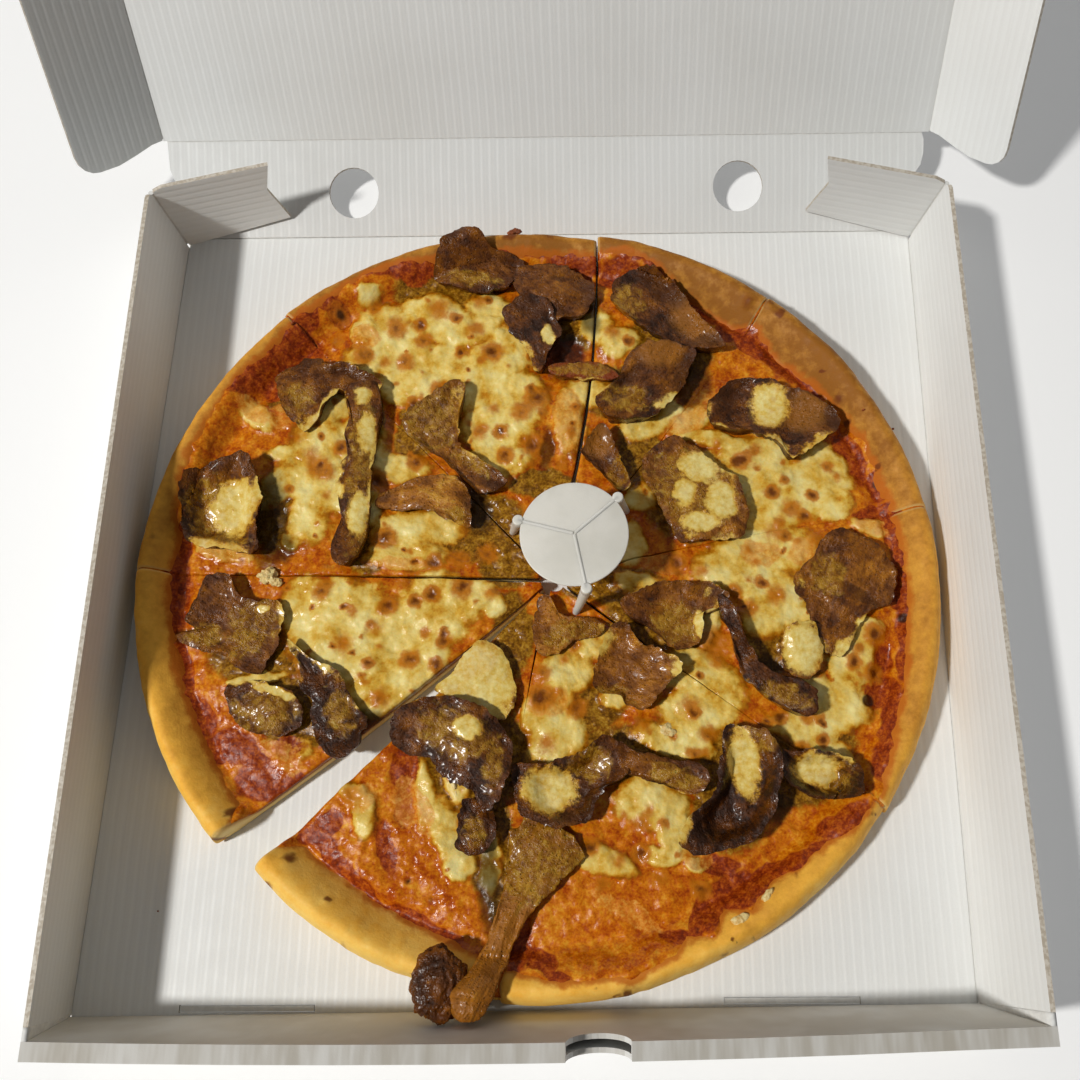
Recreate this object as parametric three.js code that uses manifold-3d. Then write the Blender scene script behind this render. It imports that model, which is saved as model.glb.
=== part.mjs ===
// A pizza, cut into eight slices, in its open cardboard box, with a plastic pizza saver.
// Millimetres, +Z up. The origin is the middle of the box's underside. +Y runs to the lid's hinge.

import * as THREE from 'three';
import { mergeVertices } from 'three/addons/utils/BufferGeometryUtils.js';
import Module from 'manifold-3d';

const wasm = await Module();
wasm.setup();

// Driving dimensions: the box
const card = 1.6; // board thickness
const gap = 0.3; // air between pieces that touch
const trayWidth = 305; // between the side walls, at the floor
const trayDepth = 300; // side walls' length
const traySkew = 5.5; // how far the front edge stands to the left of the back edge
const wallHeight = 40;
const hingeSetback = 3.5; // from the side walls' back ends to the back wall's crease
const leans = { // of the side walls, degrees outward: each is a little twisted
  left: { back: 2, front: -7.5 },
  right: { back: 8, front: 14 },
};
const leanFront = { ends: 5.5, middle: 9 };
const frontTilt = 2.8; // how much nearer the hinge the front wall's right end is than its left end
const lidRoom = 0.3; // between the shut lid's flaps and the widest places of the tray
const frontWallThick = 5.6; // both layers of the rolled front wall
const backWallHeight = 40.8;
const foldRoom = 1.1; // from a crease's line to the panel that turns on it
const backWallRise = 24; // degrees above the table, with the box open
const lidFold = 36.9; // degrees between back wall and lid, with the box open
const flapDepth = 38.3;
const flapFoldLeft = 45; // degrees between lid and flap, with the box open
const flapFoldRight = 51;
const flapFoldFront = 35;
const tabLength = 47;
const tabTurn = 13; // degrees the rear corner tabs stand back
const ventDiameter = 21;
const vents = [[-79.3, 19], [83.5, 20]]; // x, and the way up the back wall from its crease
const slotsX = [-96, 88]; // the front wall's locking slots
const slotLength = 46;
const slotWidth = 2.4;
const notchX = 23.3;
const notchWidth = 20.2;
const notchDepth = 9.5;

// Driving dimensions: the pizza
const crustRadius = 149.5;
const underside = card + gap; // the base lies on the board
const doughThick = 5.2;
const rimWidth = 18;
const rimHeight = 15.5; // above the board
const cheeseThick = 2.8;
const cheeseEdge = 16.5; // from the crust's outer edge to the cheese
const crustTuck = 2.6; // how far the crust's foot stands back under its edge
const tipLength = 2.4; // cut off each slice's tip
const cutGap = 0.9; // between two slices that were cut and left in place
const saverX = 15.5;
const saverY = 7.4;
const saverHeight = 36.7;
const saverRadius = 19.4;

const rad = THREE.MathUtils.degToRad;
const { lerp, clamp, smoothstep } = THREE.MathUtils;

const colours = {
  board: 0xe6e4df,
  crust: 0xd39a4e,
  cheese: 0xe2b45c,
  meat: 0x6f4423,
  plastic: 0xf1efe9,
};

function finish(colour, roughness) {
  return new THREE.MeshStandardMaterial({ color: colour, roughness, metalness: 0 });
}

const boardFinish = finish(colours.board, 0.75);
const crustFinish = finish(colours.crust, 0.7);
const cheeseFinish = finish(colours.cheese, 0.35);
const meatFinish = finish(colours.meat, 0.55);
const plasticFinish = finish(colours.plastic, 0.4);

function named(name, geometry, material) {
  const mesh = new THREE.Mesh(geometry, material);
  mesh.name = name;
  return mesh;
}

// Geometry to manifold solid and back
function toSolid(geometry) {
  const bare = geometry.clone();
  bare.deleteAttribute('normal');
  bare.deleteAttribute('uv');
  const merged = mergeVertices(bare, 1e-4);
  return new wasm.Manifold(new wasm.Mesh({
    numProp: 3,
    vertProperties: new Float32Array(merged.attributes.position.array),
    triVerts: new Uint32Array(merged.index.array),
  }));
}

function toGeometry(solid) {
  const mesh = solid.getMesh();
  const geometry = new THREE.BufferGeometry();
  geometry.setAttribute('position', new THREE.BufferAttribute(new Float32Array(mesh.vertProperties), 3));
  geometry.setIndex(new THREE.BufferAttribute(new Uint32Array(mesh.triVerts), 1));
  geometry.computeVertexNormals();
  return geometry;
}

// The largest of a solid's loose bodies
function largest(solid) {
  const bodies = solid.decompose();
  return bodies.reduce((best, body) => (body.volume() > best.volume() ? body : best));
}

// ---- The box ----

// The tray's outline is a parallelogram: everything on it moves sideways with y.
function skewAt(y) {
  return (traySkew * y) / trayDepth;
}

const halfWidth = trayWidth / 2;
const halfDepth = trayDepth / 2;
const creaseY = halfDepth + hingeSetback;

// A flat panel: an outline of [x, y] points, as thick as the board, about its middle plane.
function panelGeometry(outline, holes = []) {
  const shape = new THREE.Shape(outline.map(([x, y]) => new THREE.Vector2(x, y)));
  for (const [x, y, radius] of holes) {
    shape.holes.push(new THREE.Path().absarc(x, y, radius, 0, 2 * Math.PI, true));
  }
  const options = { depth: card, bevelEnabled: false, curveSegments: 14 };
  const geometry = new THREE.ExtrudeGeometry(shape, options);
  geometry.translate(0, 0, -card / 2);
  return geometry;
}

// Points of a quarter turn that rounds the corner between two directions, for outlines
function corner(x, y, radius, from, steps = 4) {
  const points = [];
  for (let i = 0; i <= steps; i += 1) {
    const a = rad(from + (90 * i) / steps);
    points.push([x + radius * Math.cos(a), y + radius * Math.sin(a)]);
  }
  return points;
}

// The front wall stands a little askew, and bulges in its middle.
function frontInner(x, z) {
  const middling = 1 - Math.pow((2 * x) / trayWidth, 2);
  const lean = lerp(leanFront.ends, leanFront.middle, clamp(middling, 0, 1));
  return -halfDepth + (frontTilt * x) / trayWidth - z * Math.tan(rad(lean));
}

function floorMesh() {
  const under = frontWallThick - card - gap; // the floor runs on under the hollow front wall
  const front = skewAt(-halfDepth);
  const outline = [
    [front - halfWidth, frontInner(-halfWidth, 0) - under],
    [front + halfWidth, frontInner(halfWidth, 0) - under],
    [skewAt(creaseY) + halfWidth, creaseY],
    [skewAt(creaseY) - halfWidth, creaseY],
  ];
  const geometry = panelGeometry(outline);
  geometry.translate(0, 0, card / 2);
  let solid = toSolid(geometry);
  for (const slotX of slotsX) { // the front wall's locking tabs go in here
    const slot = new THREE.BoxGeometry(slotLength, slotWidth, 4 * card);
    slot.translate(slotX, frontInner(slotX, 0) + slotWidth / 2 + gap, 0);
    solid = solid.subtract(toSolid(slot));
  }
  return named('tray_floor', toGeometry(solid), boardFinish);
}

// Inner face of a side wall: side is -1 for the left one and 1 for the right one.
function wallInner(side, y, z) {
  const lean = side < 0 ? leans.left : leans.right;
  const share = (y + halfDepth) / trayDepth;
  return side * (halfWidth + gap + z * Math.tan(rad(lerp(lean.front, lean.back, share)))) + skewAt(y);
}

function wallOuter(side, y, z) {
  return wallInner(side, y, z) + side * card;
}

// A side wall is a twisted slab: stations from front to back, each a row of points from foot to top.
function sideWall(name, side) {
  const round = 3; // its back top corner
  const end = halfDepth - gap / 2;
  const front = frontInner(side * halfWidth, 0) + gap / 2;
  const straight = Array.from({ length: 8 }, (_, i) => lerp(front, end - round, i / 7));
  const curved = [30, 60, 90].map((turn) => end - round + round * Math.sin(rad(turn)));
  const levels = 2;
  const inner = [];
  const outer = [];
  for (const y of [...straight, ...curved]) {
    const past = Math.max(0, y - (end - round));
    const top = wallHeight - round + Math.sqrt(round * round - past * past);
    for (let i = 0; i <= levels; i += 1) {
      const z = (top * i) / levels;
      inner.push([wallInner(side, y, z), y, z]);
      outer.push([wallOuter(side, y, z), y, z]);
    }
  }
  const faces = side < 0 ? [outer, inner] : [inner, outer];
  const stations = straight.length + curved.length;
  return named(name, slabGeometry(...faces, stations, levels + 1), boardFinish);
}

// The front wall is rolled over and hollow, open underneath, and as wide at each height as the tray.
function frontWall() {
  const base = card + gap;
  const inner = 0;
  const outer = -frontWallThick;
  const profile = [ // y, z
    [inner, base],
    [inner, wallHeight],
    [outer, wallHeight],
    [outer, 0],
    [outer + card, 0],
    [outer + card, wallHeight - card],
    [inner - card, wallHeight - card],
    [inner - card, base],
  ];
  const shape = new THREE.Shape(profile.map(([y, z]) => new THREE.Vector2(y, z)));
  const geometry = new THREE.ExtrudeGeometry(shape, { depth: 1, steps: 10, bevelEnabled: false });
  const place = geometry.attributes.position;
  for (let i = 0; i < place.count; i += 1) {
    const z = place.getY(i);
    const x = lerp(wallOuter(-1, -halfDepth, z), wallOuter(1, -halfDepth, z), place.getZ(i));
    place.setXYZ(i, x, place.getX(i) + frontInner(x, z), z);
  }
  const bend = (notchWidth * notchWidth) / 4 + notchDepth * notchDepth;
  const notchRadius = bend / (2 * notchDepth);
  const thumb = new THREE.CylinderGeometry(notchRadius, notchRadius, 30, 28);
  thumb.translate(notchX, -halfDepth - frontWallThick, wallHeight - notchDepth + notchRadius);
  const solid = toSolid(geometry).subtract(toSolid(thumb));
  return named('tray_front_wall', toGeometry(solid), boardFinish);
}

// A rear corner tab: folded in from the end of a side wall, its free end cut like an arrow's tail.
function cornerTab(name, side) {
  const lean = (side < 0 ? leans.left : leans.right).back;
  const room = foldRoom;
  const rise = Math.tan(rad(lean)); // keeps the tab level although its crease leans
  const outline = [
    [room, 0],
    [room + 4, 0],
    [tabLength - 1, 4.6],
    [tabLength - 4.5, 24],
    [tabLength + 0.5, 38.2],
    [5, 37.6],
    [room, 36],
  ].map(([x, y]) => [side * -x, y - x * rise]);
  const geometry = panelGeometry(side < 0 ? outline : outline.reverse());
  geometry.rotateX(Math.PI / 2); // stands up in local XZ
  const fold = new THREE.Group();
  const foot = 2.4; // its lower edge, above the table
  const endY = halfDepth - gap / 2 + foldRoom;
  fold.position.set(wallInner(side, endY, foot) + side * (card / 2), endY, foot);
  fold.rotation.set(0, side * rad(lean), side * -rad(tabTurn), 'YZX');
  fold.add(named(name, geometry, boardFinish));
  return fold;
}

function backWall() {
  const left = skewAt(creaseY) - halfWidth;
  const right = skewAt(creaseY) + halfWidth;
  const outline = [
    [left, foldRoom],
    [right, foldRoom],
    [right + 1, 19],
    [lidRight - 6, 24],
    [lidRight - 3.3, 28],
    [lidRight - 2.2, 33],
    [lidRight - 2.2, 38.5],
    [lidRight - 3, backWallHeight],
    [lidLeft + 1.4, backWallHeight],
    [lidLeft + 2, 29.5],
    [left - 1, 14],
  ];
  const holes = vents.map(([x, up]) => [x, up, ventDiameter / 2]);
  return named('back_wall', panelGeometry(outline, holes), boardFinish);
}

// The lid closes over the outside of the walls, so its side creases lie just outside them.
const lidLeft = wallOuter(-1, -halfDepth, 0) - lidRoom - card / 2 - 1;
const lidRight = wallOuter(1, halfDepth, wallHeight) + lidRoom + card / 2;
const frontReach = frontWallThick - frontInner(0, wallHeight) + lidRoom + card / 2;
const lidDepth = creaseY + frontReach;

function lidPanel() {
  const outline = [
    [lidLeft, foldRoom],
    [lidRight, foldRoom],
    [lidRight, lidDepth],
    [lidLeft, lidDepth],
  ];
  return named('lid_panel', panelGeometry(outline), boardFinish);
}

// A side flap in its own frame: local y along the crease, local x away from the lid.
function sideFlap(name, side) {
  const end = lidDepth - 2;
  const round = 8;
  const outline = [
    [foldRoom, 1.6],
    [6, 1.2],
    [14, -1],
    [22, -2.8],
    ...corner(flapDepth - round, round - 3, round, -90),
    ...corner(flapDepth - round, end - round, round, 0),
    [foldRoom, end],
  ].map(([x, y]) => [side * x, y]);
  return named(name, panelGeometry(side > 0 ? outline : outline.reverse()), boardFinish);
}

function frontFlap() {
  const inset = 3;
  const round = 8;
  const left = lidLeft + inset;
  const right = lidRight - inset;
  const outline = [
    [left, foldRoom],
    [right, foldRoom],
    ...corner(right - round, flapDepth - round, round, 0),
    ...corner(left + round, flapDepth - round, round, 90),
  ];
  return named('lid_flap_front', panelGeometry(outline), boardFinish);
}

// The hinged panels are nested groups, each turned about the crease that carries it.
function lidAssembly() {
  const back = new THREE.Group();
  back.position.set(0, creaseY, card / 2);
  back.rotation.x = rad(backWallRise);
  back.add(backWall());

  const lid = new THREE.Group();
  lid.position.set(0, backWallHeight, 0);
  lid.rotation.x = rad(lidFold);
  lid.add(lidPanel());
  back.add(lid);

  for (const [name, side, x, fold] of [
    ['lid_flap_left', -1, lidLeft, flapFoldLeft],
    ['lid_flap_right', 1, lidRight, flapFoldRight],
  ]) {
    const flap = new THREE.Group();
    flap.position.set(x, 0, 0);
    flap.rotation.y = side * -rad(fold);
    flap.add(sideFlap(name, side));
    lid.add(flap);
  }

  const front = new THREE.Group();
  front.position.set(0, lidDepth, 0);
  front.rotation.x = rad(flapFoldFront);
  front.add(frontFlap());
  lid.add(front);
  return back;
}

// ---- The pizza ----

// Each cut: the angle at which it meets the rim, and how far it bows to its left on the way there.
const cuts = {
  a: { angle: 179.2, bow: 0 },
  b: { angle: 133.1, bow: 1 },
  c: { angle: 80.6, bow: 5 },
  d: { angle: 50.8, bow: 0 },
  e: { angle: 9.2, bow: -3 },
  f: { angle: -35.1, bow: 1 },
  g: { angle: -93.7, bow: 4 },
  h: { angle: -139.1, bow: -2 },
  j: { angle: -132.2, bow: -1 },
};

// Each slice: the two cuts beside it, its tip, and the crust's radius at each of them.
const slices = [
  { name: 'slice_1', from: 'a', to: 'h', tip: [5, -3], radii: [149.5, 146.5] },
  { name: 'slice_2', from: 'b', to: 'a', tip: [4, -0.5], radii: [149.8, 149.5] },
  { name: 'slice_3', from: 'c', to: 'b', tip: [5, 1], radii: [146, 151] },
  { name: 'slice_4', from: 'd', to: 'c', tip: [7, 1], radii: [148.5, 148] },
  { name: 'slice_5', from: 'e', to: 'd', tip: [9, 0], radii: [150.6, 149] },
  { name: 'slice_6', from: 'f', to: 'e', tip: [10, -2], radii: [151, 150.6] },
  { name: 'slice_7', from: 'g', to: 'f', tip: [8, -3.5], radii: [148.4, 150] },
  { name: 'slice_8', from: 'j', to: 'g', tip: [3, -4.5], radii: [142, 147.6] },
];

// Slow bumps over the whole pizza, between -1 and 1
function swell(x, y, scale, seed) {
  const a = Math.sin(x / scale + seed) * Math.cos(y / (scale * 1.13) - seed * 1.7);
  const b = Math.sin((x + y) / (scale * 0.71) + seed * 2.3) * Math.cos((x - y) / (scale * 0.83) + seed);
  return 0.6 * a + 0.4 * b;
}

// Height of the dough's top, from the distance to the crust's outer edge
function doughTop(x, y, inward) {
  const base = underside + doughThick + 0.5 * swell(x, y, 23, 1.3);
  if (inward >= rimWidth) return base;
  const share = Math.max(inward, 0) / rimWidth;
  const roll = Math.sin(Math.PI * Math.pow(share, 0.62));
  const uneven = 1 + 0.1 * swell(x, y, 17, 4.1);
  const crown = base + (rimHeight + card - base) * roll * uneven;
  const edge = 3.4 * (1 - share) * (1 - share);
  return crown - edge * (1 - roll) + 1.2 * (1 - share);
}

function cheeseTop(x, y, inward) {
  const thickness = cheeseThick + 0.9 * swell(x, y, 15, 2.2) + 0.6 * swell(x, y, 8, 0.7);
  const fade = clamp((inward - cheeseEdge) / 7, 0, 1);
  return doughTop(x, y, inward) + gap + lerp(0.9, thickness, Math.sqrt(fade));
}

// The straight line from the crust's edge to a slice's tip: across runs from one cut, 0, to the other, 1.
function sliceLine(slice, across) {
  const fromCut = cuts[slice.from];
  const toCut = cuts[slice.to];
  const toAngle = toCut.angle + (toCut.angle < fromCut.angle ? 360 : 0);
  const angle = rad(lerp(fromCut.angle, toAngle, across));
  const radius = lerp(slice.radii[0], slice.radii[1], across);
  const rim = new THREE.Vector2(Math.cos(angle), Math.sin(angle)).multiplyScalar(radius);
  const way = new THREE.Vector2(...slice.tip).sub(rim);
  return { rim, way, across, bow: lerp(fromCut.bow, toCut.bow, across), length: way.length() };
}

// A point on such a line, as far inward from the crust's edge as said, bowed with the cuts beside it
function slicePoint(line, inward, sideGap) {
  const ray = line.way.clone().normalize();
  const bend = line.bow * Math.sin(Math.PI * clamp(inward / line.length, 0, 1));
  const sideways = bend + lerp(-1, 1, line.across) * (sideGap / 2);
  const across = new THREE.Vector2(-ray.y, ray.x).multiplyScalar(sideways);
  return line.rim.clone().addScaledVector(ray, inward).add(across);
}

// Rows of points from the crust's edge to the tip, each as its distance inward on a line
const rimRows = [0, 1.8, 4.6, 8.2, 12.2].map((inward) => () => inward);
const cheeseRows = [0, 0.03, 0.11, 0.25, 0.42, 0.6, 0.8, 1].map(
  (share) => (line) => lerp(cheeseEdge, line.length - tipLength, share),
);

// A closed slab between two surfaces over the same grid of slice points
function sliceSlab(slice, rows, sideGap, topOf, bottomOf) {
  const span = THREE.MathUtils.euclideanModulo(cuts[slice.to].angle - cuts[slice.from].angle, 360);
  const columns = Math.max(4, Math.round(span / 8.5));
  const top = [];
  const bottom = [];
  for (const row of rows) {
    for (let i = 0; i <= columns; i += 1) {
      const line = sliceLine(slice, i / columns);
      const inward = row(line);
      const under = inward + crustTuck * Math.max(0, 1 - inward / 8);
      const p = slicePoint(line, inward, sideGap);
      const q = slicePoint(line, under, sideGap);
      top.push([p.x, p.y, topOf(p.x, p.y, inward)]);
      bottom.push([q.x, q.y, bottomOf(q.x, q.y, under)]);
    }
  }
  return slabGeometry(top, bottom, rows.length, columns + 1);
}

function slabGeometry(top, bottom, rowCount, columnCount) {
  const points = [...top, ...bottom];
  const under = top.length;
  const faces = [];
  const at = (r, c) => r * columnCount + c;
  for (let r = 0; r + 1 < rowCount; r += 1) {
    for (let c = 0; c + 1 < columnCount; c += 1) {
      const [a, b, d, e] = [at(r, c), at(r, c + 1), at(r + 1, c + 1), at(r + 1, c)];
      faces.push(a, b, d, a, d, e);
      faces.push(under + a, under + d, under + b, under + a, under + e, under + d);
    }
  }
  const loop = [];
  for (let c = 0; c + 1 < columnCount; c += 1) loop.push(at(0, c));
  for (let r = 0; r + 1 < rowCount; r += 1) loop.push(at(r, columnCount - 1));
  for (let c = columnCount - 1; c > 0; c -= 1) loop.push(at(rowCount - 1, c));
  for (let r = rowCount - 1; r > 0; r -= 1) loop.push(at(r, 0));
  loop.forEach((a, i) => {
    const b = loop[(i + 1) % loop.length];
    faces.push(a, under + a, under + b, a, under + b, b);
  });
  const geometry = new THREE.BufferGeometry();
  geometry.setAttribute('position', new THREE.Float32BufferAttribute(points.flat(), 3));
  geometry.setIndex(faces);
  geometry.computeVertexNormals();
  return geometry;
}

function pizzaMeshes() {
  const meshes = [];
  for (const slice of slices) {
    const dough = sliceSlab(slice, [...rimRows, ...cheeseRows], cutGap, doughTop, () => underside);
    meshes.push(named(`${slice.name}_dough`, dough, crustFinish));
    const over = (x, y, inward) => doughTop(x, y, inward) + gap;
    const cheese = sliceSlab(slice, cheeseRows, cutGap, cheeseTop, over);
    meshes.push(named(`${slice.name}_cheese`, cheese, cheeseFinish));
  }
  return meshes;
}

// Everything under the pizza's top, without the cuts: what lies on the pizza is trimmed to it.
function pizzaBelow() {
  const lift = gap + 0.05;
  const bridge = -1.6; // wide enough to close the cuts
  const depth = -6;
  const rows = [() => -0.6, ...rimRows.slice(1), ...cheeseRows];
  const topOf = (x, y, inward) => (inward >= cheeseEdge ? cheeseTop : doughTop)(x, y, inward) + lift;
  const solids = slices.map((slice) => toSolid(sliceSlab(slice, rows, bridge, topOf, () => depth)));
  return solids.reduce((all, solid) => all.add(solid));
}

function inwardAt(x, y) {
  return crustRadius - Math.hypot(x, y);
}

// Height of the pizza's top at any place, near enough to lay the toppings on
function surfaceAt(x, y) {
  const inward = Math.max(inwardAt(x, y), 0);
  return inward >= cheeseEdge ? cheeseTop(x, y, inward) : doughTop(x, y, inward);
}

// How high each form of meat stands at t, from 0 in its middle to 1 at its edge, and v across it
const forms = {
  sheet: (t) => 0.72 + 0.28 * t * t,
  dome: (t) => 1 - 0.35 * t * t,
  roll: (t, v) => 0.35 + 0.65 * Math.sqrt(Math.max(0, 1 - v * v * 0.9)),
  dish: (t) => 0.4 + 0.6 * smoothstep(t, 0.42, 0.8),
};

// Shavings of meat: middle, half length and width, turn in degrees, height, form, taper and a seed.
// Taper narrows the end that the turn points to.
const shavings = [
  { at: [-109, -13], half: [19, 15], turn: -25, high: 5, form: 'sheet', taper: 0.1, seed: 1 },
  { at: [-94, -48], half: [15, 10], turn: -15, high: 4.5, form: 'dome', taper: 0, seed: 2 },
  { at: [-73, -42], half: [23, 8], turn: -52, high: 5.5, form: 'roll', taper: -0.3, seed: 3 },
  { at: [-87, 71], half: [17, 13], turn: 15, high: 7, form: 'roll', taper: 0.1, seed: 4 },
  { at: [-117, 23], half: [19, 14], turn: 95, high: 8, form: 'dish', taper: 0, seed: 5 },
  { at: [-71, 34], half: [27, 6], turn: 92, high: 9, form: 'roll', taper: 0.1, seed: 6 },
  { at: [-42, 28], half: [18, 11], turn: -8, high: 7, form: 'dome', taper: -0.2, seed: 7 },
  { at: [-28, 127], half: [17, 12], turn: -20, high: 7, form: 'dome', taper: 0, seed: 8 },
  { at: [8, 119], half: [18, 14], turn: -20, high: 8, form: 'dome', taper: 0.1, seed: 9 },
  { at: [0, 97], half: [15, 9], turn: -65, high: 8.5, form: 'roll', taper: 0.3, seed: 10 },
  { at: [-28, 54], half: [27, 9], turn: -48, high: 5.5, form: 'sheet', taper: 0.2, seed: 11 },
  { at: [50, 112], half: [26, 15], turn: -48, high: 6.5, form: 'sheet', taper: 0, seed: 12 },
  { at: [16, 85], half: [13, 6], turn: -12, high: 5, form: 'roll', taper: 0, seed: 13 },
  { at: [50, 78], half: [17, 14], turn: 35, high: 12, form: 'roll', taper: 0.2, seed: 14 },
  { at: [28, 47], half: [15, 8], turn: -62, high: 5.5, form: 'sheet', taper: -0.5, seed: 15 },
  { at: [90, 62], half: [27, 14], turn: -12, high: 8, form: 'sheet', taper: 0, seed: 16 },
  { at: [59, 32], half: [20, 17], turn: -50, high: 8, form: 'dome', taper: 0, seed: 17 },
  { at: [114, -8], half: [23, 16], turn: 70, high: 5.5, form: 'dome', taper: -0.1, seed: 18 },
  { at: [97, -35], half: [12, 7], turn: 60, high: 6.5, form: 'roll', taper: 0, seed: 19 },
  { at: [80, -34], half: [17, 6.5], turn: -58, high: 8, form: 'roll', taper: 0.2, seed: 20 },
  { at: [53, -17], half: [23, 9], turn: -14, high: 6, form: 'sheet', taper: -0.1, seed: 21 },
  { at: [102, -71], half: [12, 8], turn: -35, high: 8, form: 'dish', taper: 0, seed: 22 },
  { at: [37, -38], half: [17, 13], turn: -22, high: 6, form: 'sheet', taper: -0.2, seed: 23 },
  { at: [75, -79], half: [21, 12], turn: -72, high: 10, form: 'dish', taper: 0.1, seed: 24 },
  { at: [13, -80], half: [19, 13], turn: 5, high: 7, form: 'dish', taper: 0, seed: 25 },
  { at: [44, -72], half: [14, 6], turn: -22, high: 7, form: 'roll', taper: 0, seed: 26 },
  { at: [-27, -66], half: [21, 14], turn: -38, high: 10, form: 'roll', taper: -0.1, seed: 27 },
  { at: [-20, -88], half: [9, 7], turn: -60, high: 6, form: 'dome', taper: 0, seed: 28 },
  { at: [-17, -37], half: [14, 9], turn: 65, high: 4.5, form: 'dome', taper: 0.5, seed: 29 },
  { at: [9, -24], half: [13, 7], turn: -5, high: 5, form: 'dome', taper: 0.2, seed: 30 },
];

const rings = [0.4, 0.72, 0.93, 1];
const spokes = 12;

// One shaving, its underside well down in the cheese
function shavingSolid({ at, half, turn, high, form, taper, seed }) {
  const [cos, sin] = [Math.cos(rad(turn)), Math.sin(rad(turn))];
  const place = (t, phi) => {
    const wave = 0.1 * Math.sin(2 * phi + seed) + 0.08 * Math.sin(3 * phi + seed * 2.1);
    const ragged = 1 + wave + 0.05 * Math.sin(5 * phi + seed);
    const u = t * ragged * Math.cos(phi);
    const v = t * ragged * Math.sin(phi) * (1 - taper * Math.cos(phi));
    const [x, y] = [u * half[0], v * half[1]];
    return [at[0] + x * cos - y * sin, at[1] + x * sin + y * cos, v];
  };
  const points = [];
  const faces = [];
  const add = (x, y, z) => points.push([x, y, z]) - 1;
  const heightAt = (t, phi, x, y, v) => {
    const shape = forms[form](t, v);
    const crinkle = 0.09 * t * Math.sin(4 * phi + seed * 1.7) + 0.06 * Math.sin(7 * t + 3 * phi + seed);
    const edge = t > 0.99 ? 0.6 : 1;
    return surfaceAt(x, y) + high * (shape + crinkle) * edge;
  };
  const [cx, cy] = place(0, 0);
  const crown = add(cx, cy, heightAt(0, 0, cx, cy, 0));
  let inner = null;
  for (const t of rings) {
    const ring = [];
    for (let i = 0; i < spokes; i += 1) {
      const phi = (2 * Math.PI * i) / spokes;
      const [x, y, v] = place(t, phi);
      ring.push(add(x, y, heightAt(t, phi, x, y, v)));
    }
    ring.forEach((a, i) => {
      const b = ring[(i + 1) % spokes];
      if (inner) faces.push(inner[i], a, b, inner[i], b, inner[(i + 1) % spokes]);
      else faces.push(crown, a, b);
    });
    inner = ring;
  }
  const sunk = 2.5;
  const floor = points.slice(-spokes).map(([x, y]) => add(x, y, surfaceAt(x, y) - sunk));
  const foot = add(cx, cy, surfaceAt(cx, cy) - sunk);
  inner.forEach((a, i) => {
    const j = (i + 1) % spokes;
    faces.push(a, floor[i], floor[j], a, floor[j], inner[j]);
    faces.push(foot, floor[j], floor[i]);
  });
  const geometry = new THREE.BufferGeometry();
  geometry.setAttribute('position', new THREE.Float32BufferAttribute(points.flat(), 3));
  geometry.setIndex(faces);
  return toSolid(geometry);
}

// The long strip that hangs over the crust at the front: each row is x, y, half width, height above
// the pizza, and lean of its underside over the crust's outer edge.
const stripRows = [
  { at: [9, -91], half: 11, high: 3.5 },
  { at: [5, -98], half: 13, high: 4.5 },
  { at: [1, -107], half: 9.5, high: 5 },
  { at: [-5, -117], half: 5.5, high: 5.5 },
  { at: [-9, -127], half: 4.5, high: 6.5 },
  { at: [-13, -137], half: 5, high: 8 },
  { at: [-18, -146], half: 6.5, high: 10.5 },
  { at: [-21, -151.6], half: 5.5, high: 12 },
];

function stripSolid() {
  const columns = 4;
  const top = [];
  const bottom = [];
  stripRows.forEach((row, r) => {
    const next = stripRows[Math.min(r + 1, stripRows.length - 1)].at;
    const last = stripRows[Math.max(r - 1, 0)].at;
    const along = new THREE.Vector2(next[0] - last[0], next[1] - last[1]).normalize();
    for (let i = 0; i <= columns; i += 1) {
      const v = 1 - (2 * i) / columns;
      const x = row.at[0] - along.y * v * row.half;
      const y = Math.max(row.at[1] + along.x * v * row.half, -151.8);
      const level = Math.max(surfaceAt(x, y), inwardAt(x, y) < 4 ? 16 : 0);
      const round = Math.sqrt(1 - 0.8 * v * v);
      top.push([x, y, level + row.high * (0.35 + 0.65 * round)]);
      bottom.push([x, y, level - 2]);
    }
  });
  const ribbon = toSolid(slabGeometry(top, bottom, stripRows.length, columns + 1));
  const knob = new THREE.IcosahedronGeometry(1, 2);
  const place = knob.attributes.position;
  for (let i = 0; i < place.count; i += 1) {
    const [x, y, z] = [place.getX(i), place.getY(i), place.getZ(i)];
    const lump = 1 + 0.09 * Math.sin(5 * x + 2 * y) * Math.cos(4 * z + 3 * y);
    place.setXYZ(i, -30 + 8 * x * lump, -140 + 10.5 * y * lump, 20 + 6.5 * z * lump);
  }
  return ribbon.add(toSolid(knob));
}

// ---- The pizza saver: a small table on three splayed legs ----
const legs = [ // the way each one's rib runs, in degrees, and its foot
  { angle: 165.5, foot: [-8.8, 17.6] },
  { angle: 41, foot: [34.5, 25] },
  { angle: -78, foot: [15.3, -14.1] },
];

function between(from, to, topRadius, footRadius, sides) {
  const axis = new THREE.Vector3().subVectors(to, from);
  const rod = new THREE.CylinderGeometry(footRadius, topRadius, axis.length(), sides);
  const up = new THREE.Vector3(0, 1, 0);
  rod.applyQuaternion(new THREE.Quaternion().setFromUnitVectors(up, axis.normalize()));
  rod.translate((from.x + to.x) / 2, (from.y + to.y) / 2, (from.z + to.z) / 2);
  return toSolid(rod);
}

function shoulderOf(angle) {
  const reach = saverRadius + 1.2;
  const [c, s] = [Math.cos(rad(angle)), Math.sin(rad(angle))];
  return new THREE.Vector3(saverX + reach * c, saverY + reach * s, saverHeight - 2);
}

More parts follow.
